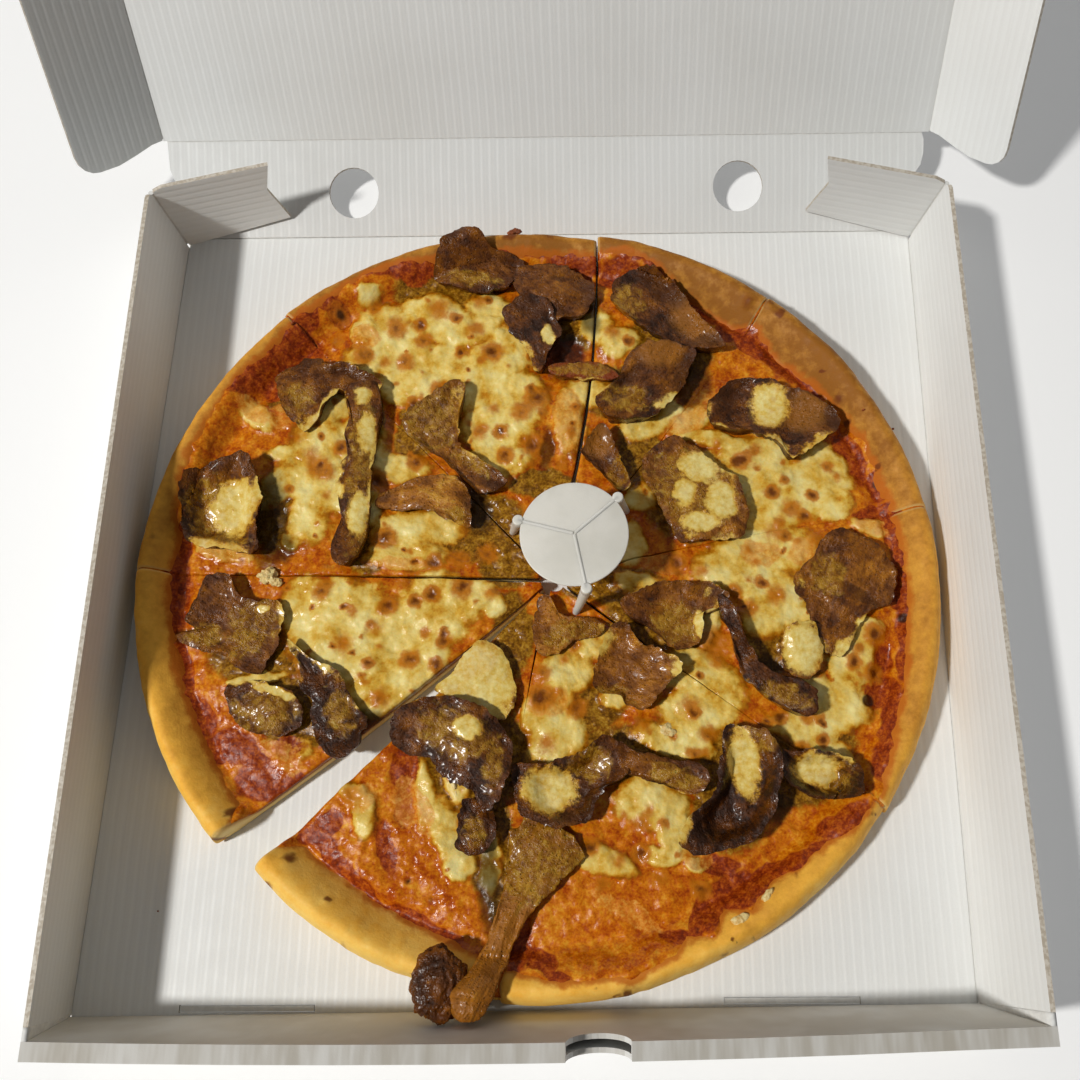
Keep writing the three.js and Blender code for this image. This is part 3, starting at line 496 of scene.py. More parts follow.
# faint corrugation lines, the same on every panel
boardLook = dict(
    white=tone(233, 234, 232), warm=tone(225, 225, 221), line=tone(205, 204, 200), cut=tone(180, 168, 150),
    # the front wall's inner and top colours are greyer board: painted shade on its inner face and its curved top
    liner=tone(206, 198, 184), pitch=3.45, lineDepth=0.05, frontInner=tone(202, 198, 188), frontTopShade=tone(172, 166, 154),
    # some panels are painted darker by these factors: painted shade for panels that lie in shade
    paintedShade=dict(back_wall=0.84, lid_panel=0.92, lid_flap_left=0.68, rear_tab_right=0.88),
)


def buildFluting():
    tree, kit, given, wanted = newGroup(
        "fluting", [("Across", "Vector"), ("Along", "Vector"), ("Face", "Vector")],
        [("Color", "Color"), ("Height", "Float"), ("Roughness", "Float")],
    )
    place = kit.place()
    # the lines follow each other in the direction Across and run in the direction Along
    across, along = (kit.dot(place, given[way]) for way in ("Across", "Along"))
    turns = kit.plus(across, 1000 * 2 * math.pi / boardLook["pitch"], kit.times(kit.noise(28, 2), 1.4))
    wave = kit.plus(kit.math("SINE", kit.plus(turns, 2.0, 0.8)), 0.45, kit.math("SINE", turns))
    streak = kit.noise(2.4, 3, 0.65, kit.put("CombineXYZ", {0: across, 1: kit.times(along, 0.05)}))
    shade = kit.ease(kit.plus(wave, 0.32, streak), 0.25, 0.85)
    base = kit.mix(kit.ease(kit.noise(70, 3, 0.6), 0.3, 0.8, 0.0, 0.7), boardLook["white"], boardLook["warm"])
    # the corrugation lines are also darkened in the colour: painted shading of the flute relief
    streaky = kit.mix(kit.times(shade, 0.15), base, boardLook["line"])
    speckled = kit.speckle(0.1, streaky, kit.noise(0.5, 2, 0.7), (0.75, 0.74, 0.72, 1))
    facing = kit.dot(kit.put("TexCoord", {}, "Normal"), given["Face"])
    edge = kit.ease(kit.math("ABSOLUTE", facing), 0.35, 0.6, 1.0, 0.0)
    liner = kit.mix(kit.ease(kit.noise(1.3, 2), 0.4, 0.6), boardLook["cut"], boardLook["liner"])
    kit.feed(wanted, {
        "Color": kit.mix(edge, speckled, liner), "Height": kit.plus(wave, 0.5, kit.times(streak, 0.6)),
        "Roughness": kit.ease(kit.noise(9, 2), 0.3, 0.7, 0.5, 0.68),
    })
    return tree


fluting = buildFluting()


def boardMaterial(node, across, along, face):
    material, kit, shader = newMaterial(node + " board", {"Specular IOR Level": 0.35})
    look = useGroup(kit, fluting, {"Across": across, "Along": along, "Face": face})
    # a panel that lies in shade gets a darker colour: painted shade
    shadeScale = boardLook["paintedShade"].get(node, 1)
    kit.feed(shader.inputs, {
        "Base Color": kit.multiply(1.0, look["Color"], (shadeScale, shadeScale, shadeScale, 1)), "Roughness": look["Roughness"],
        "Normal": kit.bump(look["Height"], boardLook["lineDepth"]),
    })
    return material


def swung(vector, *turns):
    for axis, degrees in turns:
        vector = Matrix.Rotation(math.radians(degrees), 3, axis) @ Vector(vector)
    return tuple(vector)


def swungAll(*turns):
    return [swung(way, *turns) for way in (toRight, toRear, toTop)]


def finishNode(node, material):
    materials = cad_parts[node].data.materials
    materials.clear()
    materials.append(material)


toRight, toRear, toTop = (1, 0, 0), (0, 1, 0), (0, 0, 1)
# how far each panel is turned, in degrees: the side flaps by the lid, the others by the floor
turned = dict(
    back=("X", 24), lid=("X", 60.9), left=("Y", 45), right=("Y", -51), front=("X", 95.9),
    tabs={-1: ("Z", 13), 1: ("Z", -13)},
)
# for each panel the way across its lines, the way along them and the way that it faces
panels = dict(
    tray_floor=(toRight, toRear, toTop),
    tray_wall_left=(toTop, toRear, toRight),
    tray_wall_right=(toTop, toRear, toRight),
    rear_tab_left=(toTop, toRight, swung(toRear, turned["tabs"][-1])),
    rear_tab_right=(toTop, toRight, swung(toRear, turned["tabs"][1])),
    back_wall=swungAll(turned["back"]),
    lid_panel=swungAll(turned["lid"]),
    lid_flap_left=swungAll(turned["left"], turned["lid"]),
    lid_flap_right=swungAll(turned["right"], turned["lid"]),
    lid_flap_front=swungAll(turned["front"]),
)
for node, ways in panels.items():
    finishNode(node, boardMaterial(node, *ways))


def frontWallMaterial():
    # greyer than the rest, as painted shade on its inner face and on its curved top, with blurred bars along its top
    material, kit, shader = newMaterial("front wall board", {"Specular IOR Level": 0.35, "Roughness": 0.6})
    normal = kit.put("SeparateXYZ", {0: kit.put("TexCoord", {}, "Normal")}, "Z")
    stretched = kit.put("VectorMath", {0: kit.place(), 1: (1, 0.12, 0.12)}, operation="MULTIPLY")
    bars, wide = kit.noise(3.6, 2, 0.6, stretched), kit.noise(26, 2, 0.5, stretched)
    barred = kit.ease(kit.plus(bars, 0.7, kit.times(wide, 0.4)), 0.35, 0.8, 0.0, 0.45)
    top = kit.mix(barred, boardLook["frontTopShade"], boardLook["white"])
    shadedInner = kit.mix(kit.ease(kit.noise(40, 3, 0.6), 0.35, 0.7), boardLook["frontInner"], boardLook["warm"])
    relief = kit.plus(kit.noise(0.6, 2, 0.6), 0.3, bars)
    colour = kit.mix(kit.ease(normal, 0.5, 0.8), shadedInner, top)
    kit.feed(shader.inputs, {"Base Color": colour, "Normal": kit.bump(relief, 0.12)})
    return material


def edgeMaterial():
    # worn folds and raw edges, with fine greyer ticks
    material, kit, shader = newMaterial("folded board", {"Specular IOR Level": 0.3, "Roughness": 0.75})
    ticks = kit.ease(kit.noise(2.2, 2, 0.6), 0.35, 0.65)
    colour = kit.mix(kit.times(ticks, 0.5), boardLook["warm"], boardLook["line"])
    kit.feed(shader.inputs, {"Base Color": colour, "Normal": kit.bump(kit.noise(1.2, 2, 0.6), 0.08)})
    return material


finishNode("tray_front_wall", frontWallMaterial())
foldFinish = edgeMaterial()
print("box materials made")


# rods lie in the creases and stay with the part that carries the fold; tongues turn with the other part
box = dict(
    halfWidth=152.5, halfDepth=150, skew=5.5, creaseY=153.5, wallHeight=40, leanFront=(5.5, 9), frontTilt=2.8,
    leans={-1: (-7.5, 2), 1: (14, 8)}, lidPivot=(190.773, 17.395), lidDepth=316.535, lidSide=(-159.25, 163.87),
    creaseRadius=0.8, endRadius=0.65, tabRadius=1.02, footRadius=0.5, footIn=0.15,
    # where a tongue begins and ends, from the middle of its rod, and how thick it is
    tongue=(0.83, 1.2), tongueThick=1.45,
    # how far the folds end inside the lid's corners: its own fold's two ends, the side folds and the front fold
    lidEnds=(1.4, 3), sideEnd=2, frontEnd=3,
    tabFoot=2.4, tabTall=35, tabEnd=150.95, slotsX=(-96, 88), slotSize=(46, 2.4), slotPlay=0.5,
    slotTongue=(0.75, 1.4), cornerFoot=1.9, cornerPlay=0.1,
)


def skewAt(y):
    return box["skew"] * y / (2 * box["halfDepth"])


def wallInner(side, y, z):
    lean = lerp(*box["leans"][side], (y + box["halfDepth"]) / (2 * box["halfDepth"]))
    return side * (box["halfWidth"] + pizza["gap"] + z * np.tan(np.radians(lean))) + skewAt(y)


def frontInner(x, z):
    middling = np.clip(1 - (x / box["halfWidth"]) ** 2, 0, 1)
    tilt = box["frontTilt"] * x / (2 * box["halfWidth"])
    return tilt - box["halfDepth"] - z * np.tan(np.radians(lerp(*box["leanFront"], middling)))


def addRod(bm, start, end, radius, endRadius=None, segments=16):
    start, end = Vector(start), Vector(end)
    turn = (end - start).to_track_quat("Z", "Y").to_matrix().to_4x4()
    matrix = Matrix.Translation((start + end) / 2 * mm) @ turn
    bmesh.ops.create_cone(
        bm, cap_ends=True, segments=segments, radius1=radius * mm, radius2=(endRadius or radius) * mm,
        depth=(end - start).length * mm, matrix=matrix)


def addBlock(bm, middle, size, turn=Matrix.Identity(4)):
    scale = Matrix.Diagonal((*(side * mm for side in size), 1))
    bmesh.ops.create_cube(bm, size=1, matrix=Matrix.Translation(middle * mm) @ turn @ scale)


def addTongue(bm, start, end, way):
    # a flat strip along the crease from start to end, reaching out of it in the direction way
    start, end, way = Vector(start), Vector(end), Vector(way).normalized()
    along = (end - start).normalized()
    turn = Matrix((along, way, along.cross(way))).transposed().to_4x4()
    low, high = box["tongue"]
    middle = (start + end) / 2 + way * (low + high) / 2
    addBlock(bm, middle, ((end - start).length, high - low, box["tongueThick"]), turn)


def lidPoint(x, along):
    rise = math.radians(turned["lid"][1])
    y, z = box["lidPivot"]
    return (x, y + along * math.cos(rise), z + along * math.sin(rise))


def sideFold(x):
    return lidPoint(x, box["sideEnd"]), lidPoint(x, box["lidDepth"] - box["sideEnd"])


def buildCreases():
    left, right = (skewAt(box["creaseY"]) + side * box["halfWidth"] for side in (-1, 1))
    half = pizza["card"] / 2
    lidLeft, lidRight = box["lidSide"]
    lidFold = (lidPoint(lidLeft + box["lidEnds"][0], 0), lidPoint(lidRight - box["lidEnds"][1], 0))
    frontFold = [lidPoint(x, box["lidDepth"]) for x in (lidLeft + box["frontEnd"], lidRight - box["frontEnd"])]
    # who carries the rod, who turns with the tongue, the fold's ends, the rod's radius and the tongue's way
    folds = [
        ("tray", "back_wall", [(x, box["creaseY"], half) for x in (left, right)], "creaseRadius",
         swung(toRear, turned["back"])),
        ("back_wall", "lid", lidFold, "creaseRadius", swung(toRear, turned["lid"])),
        ("lid", "flap_left", sideFold(lidLeft), "creaseRadius", swung((-1, 0, 0), turned["left"], turned["lid"])),
        ("lid", "flap_right", sideFold(lidRight), "creaseRadius", swung(toRight, turned["right"], turned["lid"])),
        ("lid", "flap_front", frontFold, "endRadius", swung(toRear, turned["front"])),
    ]
    for side, body in ((-1, "tab_left"), (1, "tab_right")):
        heights = (box["tabFoot"] + 1, box["tabFoot"] + box["tabTall"])
        ends = [(wallInner(side, box["tabEnd"], z) + side * half, box["tabEnd"], z) for z in heights]
        folds.append(("tray", body, ends, "tabRadius", swung((-side, 0, 0), turned["tabs"][side])))
    creases = {body: bmesh.new() for body in dict.fromkeys(body for fold in folds for body in fold[:2])}
    for carrier, turner, ends, radius, way in folds:
        addRod(creases[carrier], *ends, box[radius])
        addTongue(creases[turner], *ends, way)
    for side in (-1, 1):
        reach = (-box["halfDepth"] + 1, box["halfDepth"])
        foot = [(wallInner(side, y, half) - side * box["footIn"], y, half) for y in reach]
        addRod(creases["tray"], *foot, box["footRadius"])
    for body, bm in creases.items():
        addPiece(body + "_crease", finishMesh(body + "_crease", bm), foldFinish, body)


def buildCorners():
    # the side walls' ends are folded on to meet the leaning front wall
    for side, label in ((-1, "left"), (1, "right")):
        def place(u, v, level):
            z = lerp(box["cornerFoot"], box["wallHeight"] - box["cornerPlay"], (v + 1) / 2)
            back = frontInner(side * box["halfWidth"], 0) + box["cornerPlay"]
            front = frontInner(wallInner(side, -box["halfDepth"], z), z) - box["cornerPlay"]
            y = lerp(front, np.maximum(back, front + 0.3), (u + 1) / 2)
            x = wallInner(side, y, z) + side * np.where(level > 0, pizza["card"], 0)
            return np.stack([x, y, z], 1), {}
        addPiece("front_corner_" + label, drapedBody("front_corner_" + label, 4, 12, 1, place), foldFinish)
    plugs = bmesh.new()
    wide, deep = box["slotSize"]
    high, thick = box["slotTongue"]
    for x in box["slotsX"]:
        middle = Vector((x, float(frontInner(x, 0)) + deep / 2 + pizza["gap"], high))
        addBlock(plugs, middle, (wide - box["slotPlay"], deep - box["slotPlay"], thick))
    addPiece("slot_tongues", finishMesh("slot_tongues", plugs, False), foldFinish)


buildCreases()
buildCorners()
print("folds made")


# melted cheese, oil and sauce, wherever they lie
cheeseLook = dict(
    orange=shades((0.3, 112, 34, 2), (0.42, 168, 72, 4), (0.54, 206, 118, 10), (0.7, 238, 176, 50)),
    sauce=shades((0.3, 88, 24, 3), (0.46, 134, 46, 6), (0.58, 172, 78, 12), (0.75, 204, 116, 26)),
    # from a patch's golden, oily border to its pale middle
    cream=shades(
        (0.22, 146, 80, 4), (0.4, 186, 122, 18), (0.54, 212, 166, 60), (0.7, 228, 196, 102), (0.95, 238, 220, 144)),
    pink=shades((0.3, 192, 86, 12), (0.5, 214, 134, 40), (0.7, 232, 188, 98)),
    olive=shades((0.3, 66, 36, 2), (0.46, 120, 76, 8), (0.58, 164, 116, 26), (0.72, 200, 164, 66)),
    # the last colour on the next line is painted shade, nearly black
    halo=tone(184, 106, 12), toast=tone(98, 46, 6), burnt=tone(40, 18, 6), shadowed=tone(38, 22, 4),
)
cheeseMarks = ("Cream", "Pink", "Sauce", "Olive", "Shadowed", "Toast", "Burnt")


def buildCheese():
    tree, kit, given, wanted = newGroup(
        "melted cheese", [(kind, "Float") for kind in cheeseMarks],
        [("Color", "Color"), ("Roughness", "Float"), ("Height", "Float")],
    )
    wide, middle, fine = kit.noise(7, 3, 0.6), kit.noise(2.6, 3, 0.6), kit.noise(0.9, 2, 0.6)
    mixed = kit.plus(middle, 0.55, kit.times(fine, 0.45))
    warp = kit.math("SUBTRACT", kit.plus(middle, 0.6, kit.times(fine, 0.35)), 0.475)

    def share(kind, low, high, pull=1.0):
        return kit.ease(kit.plus(warp, pull, given[kind]), low, high)

    colour = kit.ramp(kit.plus(wide, 0.4, kit.times(mixed, 0.6)), cheeseLook["orange"])
    colour = kit.mix(share("Olive", 0.3, 0.75), colour, kit.ramp(mixed, cheeseLook["olive"]))
    colour = kit.mix(share("Sauce", 0.3, 0.62, 1.3), colour, kit.ramp(mixed, cheeseLook["sauce"]))
    pools = kit.plus(kit.noise(10, 2, 0.5), 0.9, kit.plus(wide, 0.9, -0.9))
    depth = kit.math("ADD", kit.plus(warp, 0.55, pools), kit.times(given["Cream"], 0.7))
    colour = kit.mix(share("Cream", 0.22, 0.6, 1.5), colour, kit.ramp(depth, cheeseLook["cream"]))
    colour = kit.mix(kit.times(share("Pink", 0.35, 0.75, 1.3), 0.6), colour, kit.ramp(mixed, cheeseLook["pink"]))
    toast = kit.plus(warp, 0.7, given["Toast"])
    colour = kit.mix(kit.ease(toast, 0.02, 0.46, 0.0, 0.9), colour, cheeseLook["halo"])
    colour = kit.mix(kit.ease(toast, 0.45, 1.0, 0.0, 0.95), colour, cheeseLook["toast"])
    colour = kit.mix(kit.ease(given["Burnt"], 0.25, 0.6, 0.0, 0.9), colour, cheeseLook["burnt"])
    # painted shade: hollows, spots beside raised pieces and the sides at the cuts go nearly black
    colour = kit.mix(kit.times(given["Shadowed"], 0.75), colour, cheeseLook["shadowed"])
    blobs = kit.noise(3.4, 1, 0.5)
    kit.feed(wanted, {
        "Color": colour, "Roughness": kit.plus(given["Sauce"], 0.14, kit.ease(wide, 0.35, 0.65, 0.18, 0.38)),
        "Height": kit.plus(fine, 0.16, kit.plus(middle, 0.3, blobs)),
    })
    return tree


meltedCheese = buildCheese()


def meltOn(kit):
    return useGroup(kit, meltedCheese, {kind: kit.mark(kind.lower()) for kind in cheeseMarks})


def cheeseMaterial():
    constants = {"Specular IOR Level": 0.23, **seeping(0.12, (1.0, 0.5, 0.2), 0.0015)}
    material, kit, shader = newMaterial("cheese and sauce", constants)
    look = meltOn(kit)
    kit.feed(shader.inputs, {
        "Base Color": look["Color"], "Roughness": look["Roughness"], "Normal": kit.bump(look["Height"], 0.6),
    })
    return material


crustLook = dict(
    pale=tone(250, 206, 104), golden=tone(242, 180, 66), tan=tone(202, 140, 50), brown=tone(150, 94, 28),
    crumb=tone(238, 216, 150), char=tone(112, 54, 16), stain=tone(188, 98, 18),
)


def crustMaterial():
    constants = {"Specular IOR Level": 0.18, **seeping(0.06, (1.0, 0.5, 0.25), 0.0012)}
    material, kit, shader = newMaterial("baked crust", constants)
    wide, middle, fine = kit.noise(20, 3, 0.6), kit.noise(4, 4, 0.65), kit.noise(0.8, 2, 0.6)
    # the mark holds baking and painted shade where the crust faces away from the lamp
    bakingAndShade = kit.plus(middle, 0.5, kit.plus(wide, 0.5, kit.math("SUBTRACT", kit.mark("bakingAndShade"), 0.16)))
    stops = [(0.2, crustLook["pale"]), (0.5, crustLook["golden"]), (0.78, crustLook["tan"]), (1.0, crustLook["brown"])]
    colour = kit.ramp(bakingAndShade, stops)
    colour = kit.speckle(0.12, colour, fine, (0.72, 0.62, 0.5, 1))
    stain = kit.sway(middle, 0.7, kit.mark("stain"))
    colour = kit.mix(kit.ease(stain, 0.35, 0.85, 0.0, 0.85), colour, crustLook["stain"])
    colour = kit.mix(kit.mark("crumb"), colour, crustLook["crumb"])
    colour = kit.mix(kit.ease(kit.mark("burnt"), 0.2, 0.6, 0.0, 0.9), colour, crustLook["char"])
    height = kit.plus(fine, 0.2, kit.times(middle, 0.8))
    kit.feed(shader.inputs, {
        "Base Color": colour, "Roughness": kit.ease(middle, 0.3, 0.7, 0.5, 0.7), "Normal": kit.bump(height, 0.32),
    })
    return material


cheeseFinish = cheeseMaterial()
crustFinish = crustMaterial()
print("food materials made")


crust = dict(
    columnPitch=1.0, rimRows=44, innerRows=14, rimZone=22, cutGap=0.5, cutDrop=0.45, outline=(0.8, 0.35),
    lumps=(0.55, 0.2), wobble=0.25,
    # how the side goes down: share of the height, and how far it is tucked in
    skirt=((0.45, 0.5), (0.8, 1.7), (1.0, 2.6)),
    # way round in degrees, and how much browner the crust is painted there: partly baking, partly painted shade where
    # the crust faces away from the lamp
    bakeAndShadeRound=[(-180, 0.08), (-150, -0.08), (-120, -0.16), (-90, -0.12), (-60, -0.04), (-30, 0.12), (0, 0.24), (35, 0.38),
          (70, 0.42), (100, 0.42), (130, 0.34), (160, 0.16), (180, 0.08)],
    # small marks on the crust: x, y, size of each
    burnt=[(-83, -101, 2.6), (-90, -110, 2.2), (-68, -115, 1.3), (-62, -129, 2), (-104, -86, 2.4), (-106, -77, 1.4),
           (-110, -95, 1.2), (64, -132, 2), (68, -128.5, 0.8), (22, -142.5, 0.8), (33, -144, 2), (75, -129, 2),
           (-12, 144, 3), (5, 142, 3), (84, 111, 2.8), (92, 110, 3), (96, 106, 2), (112, 81, 1.4), (117, 70, 2),
           (131, 41, 1.4), (-142, 14, 2.4), (30, -147, 1.6), (18, -148, 1.4), (90, -108, 1.8), (117, -87, 1),
           (58, 137, 1.2), (63, 132, 1), (-50, 137, 1.2), (120, 60, 1.4), (86, 105, 1.4)],
    blisters=[(84, 111, 3.4, 1.4), (-68, -115, 2.4, 0.5), (117, 70, 3, 0.8), (92, 109, 4, 0.9), (70, -125, 4, 0.9),
              (123, 60, 4, 0.8), (-83, -101, 4, 0.7), (40, 143, 5, 0.9), (-30, 143, 5, 0.6), (-120, -80, 7, 0.6),
              (128, -62, 6, 0.5), (100, 104, 6, 0.6), (-60, -124, 8, 0.6), (60, -134, 5, 0.6)],
)


def doughMesh(name):
    span = sliceSpan(name)
    columns = round(span * pizza["crustRadius"] / crust["columnPitch"])
    rows = crust["rimRows"] + crust["innerRows"]
    knee = crust["rimRows"] / rows

    def place(u, v, level):
        across, way = (u + 1) / 2, (v + 1) / 2
        length = sliceRay(name, across)[4] - pizza["tipLength"]
        near = crust["rimZone"] * np.clip(way / knee, 0, 1) ** 1.5
        inward = np.where(way < knee, near, lerp(crust["rimZone"], length, np.clip((way - knee) / (1 - knee), 0, 1)))
        x, y = slicePoint(name, across, inward, crust["cutGap"])
        outline = crust["outline"][0] * grain(x, y, 21, 41) + crust["outline"][1] * grain(x, y, 6, 42, 2)
        reach = np.hypot(x, y)
        push = outline * np.clip(1 - inward / 14, 0, 1) / reach
        x, y = x * (1 + push), y * (1 + push)
        top = doughTop(x, y, inward)
        lumps = crust["lumps"][0] * grain(x, y, 13, 43) + crust["lumps"][1] * grain(x, y, 3.6, 44, 2)
        top = top + smooth(24, 12, inward) * lumps * smooth(0, 3, inward)
        for cx, cy, r, high in crust["blisters"]:
            top = top + high * smooth(0, 1, 1 - np.hypot(x - cx, y - cy) / r)
        atCut = smooth(1.1, 0, np.minimum(across, 1 - across) * span * np.maximum(reach, 20))
        top = top - atCut * crust["cutDrop"]
        z, px, py = top, x, y
        for number, (drop, tuck) in enumerate(crust["skirt"], 1):
            here = level == number
            inset = tuck * np.clip(1 - inward / 8, 0, 1)
            wobble = crust["wobble"] * grain(x * 3 + z, y * 3, 2.2, 45, 2) * (number < 3)
            z = np.where(here, lerp(top, pizza["underside"], drop), z)
            px, py = (np.where(here, side * (1 - (inset + wobble) / reach), old) for side, old in ((x, px), (y, py)))
        cutFace = (np.abs(u) > 0.999) & (inward > 1.5)
        under = inward - toppingEdge(x, y)
        roundBakeAndShade = np.interp(np.degrees(np.arctan2(y, x)), *zip(*crust["bakeAndShadeRound"]))
        bakingAndShade = 0.08 + roundBakeAndShade + 0.16 * smooth(2, 7, inward) - 0.14 * smooth(3, 0, inward) + 0.14 * grain(x, y, 30, 46)
        marks = dict(
            bakingAndShade=bakingAndShade + 0.1 * (level > 0) * ~cutFace,
            stain=smooth(-3.5, 2.5, under),
            crumb=np.where(cutFace & (level > 0), 0.85, np.where(cutFace, 0.45, 0)),
            burnt=spotField(x, y, crust["burnt"], 2.2),
        )
        return np.stack([px, py, z], 1), marks

    return drapedBody(name + "_crust", columns, rows, 3, place)


coat = dict(
    pitch=0.75, share=0.93, start=2.6, deepEnd=5.6, shorter=0.3, wander=0.12, cutDrop=0.5,
    # how open each cut still is: the cheese has run together over most of them
    opening=dict(a=-0.3, b=-0.9, c=0.2, d=-1, e=-1, f=-1, g=-3.2, h=0.7, j=0.7),
)


def coatMesh(name):
    span = sliceSpan(name)
    columns = round(span * coat["share"] * pizza["crustRadius"] / coat["pitch"])
    rows = round(coat["share"] * pizza["crustRadius"] / coat["pitch"])

    def place(u, v, level):
        across, way = (u + 1) / 2, (v + 1) / 2
        length = sliceRay(name, across)[4] - pizza["tipLength"] - coat["shorter"]
        inward = lerp(coat["start"], length, way)
        inset = lerp(*(coat["opening"][cut] for cut in slices[name][:2]), across)
        x, y = slicePoint(name, across, inward, inset + coat["wander"] * grain(inward, across * 30, 7, 51, 2))
        found = masks(x, y)
        width = span * np.maximum(length - inward, 0.5)
        atCut = smooth(0.9, 0, np.minimum(across, 1 - across) * width) * smooth(0, 8, width) * smooth(-0.6, 0.5, inset)
        top = doughTop(x, y, inward) + toppingThick(x, y, inward, found) - coat["cutDrop"] * atCut
        z = np.where(level == 0, top, np.where(level == 1, lerp(top, coat["deepEnd"], 0.5), coat["deepEnd"]))
        # the topping's sides down at the cuts are darkened: painted shade
        found["shadowed"] = np.maximum(found["shadowed"], 0.45 * (level > 0))
        return np.stack([x, y, z], 1), found

    return drapedBody(name + "_topping", columns, rows, 2, place)


for name in slices:
    addPiece(name + "_crust", doughMesh(name), crustFinish, stands=[name + "_dough"])
    addPiece(name + "_topping", coatMesh(name), cheeseFinish, stands=[name + "_cheese"])
print("slices made")
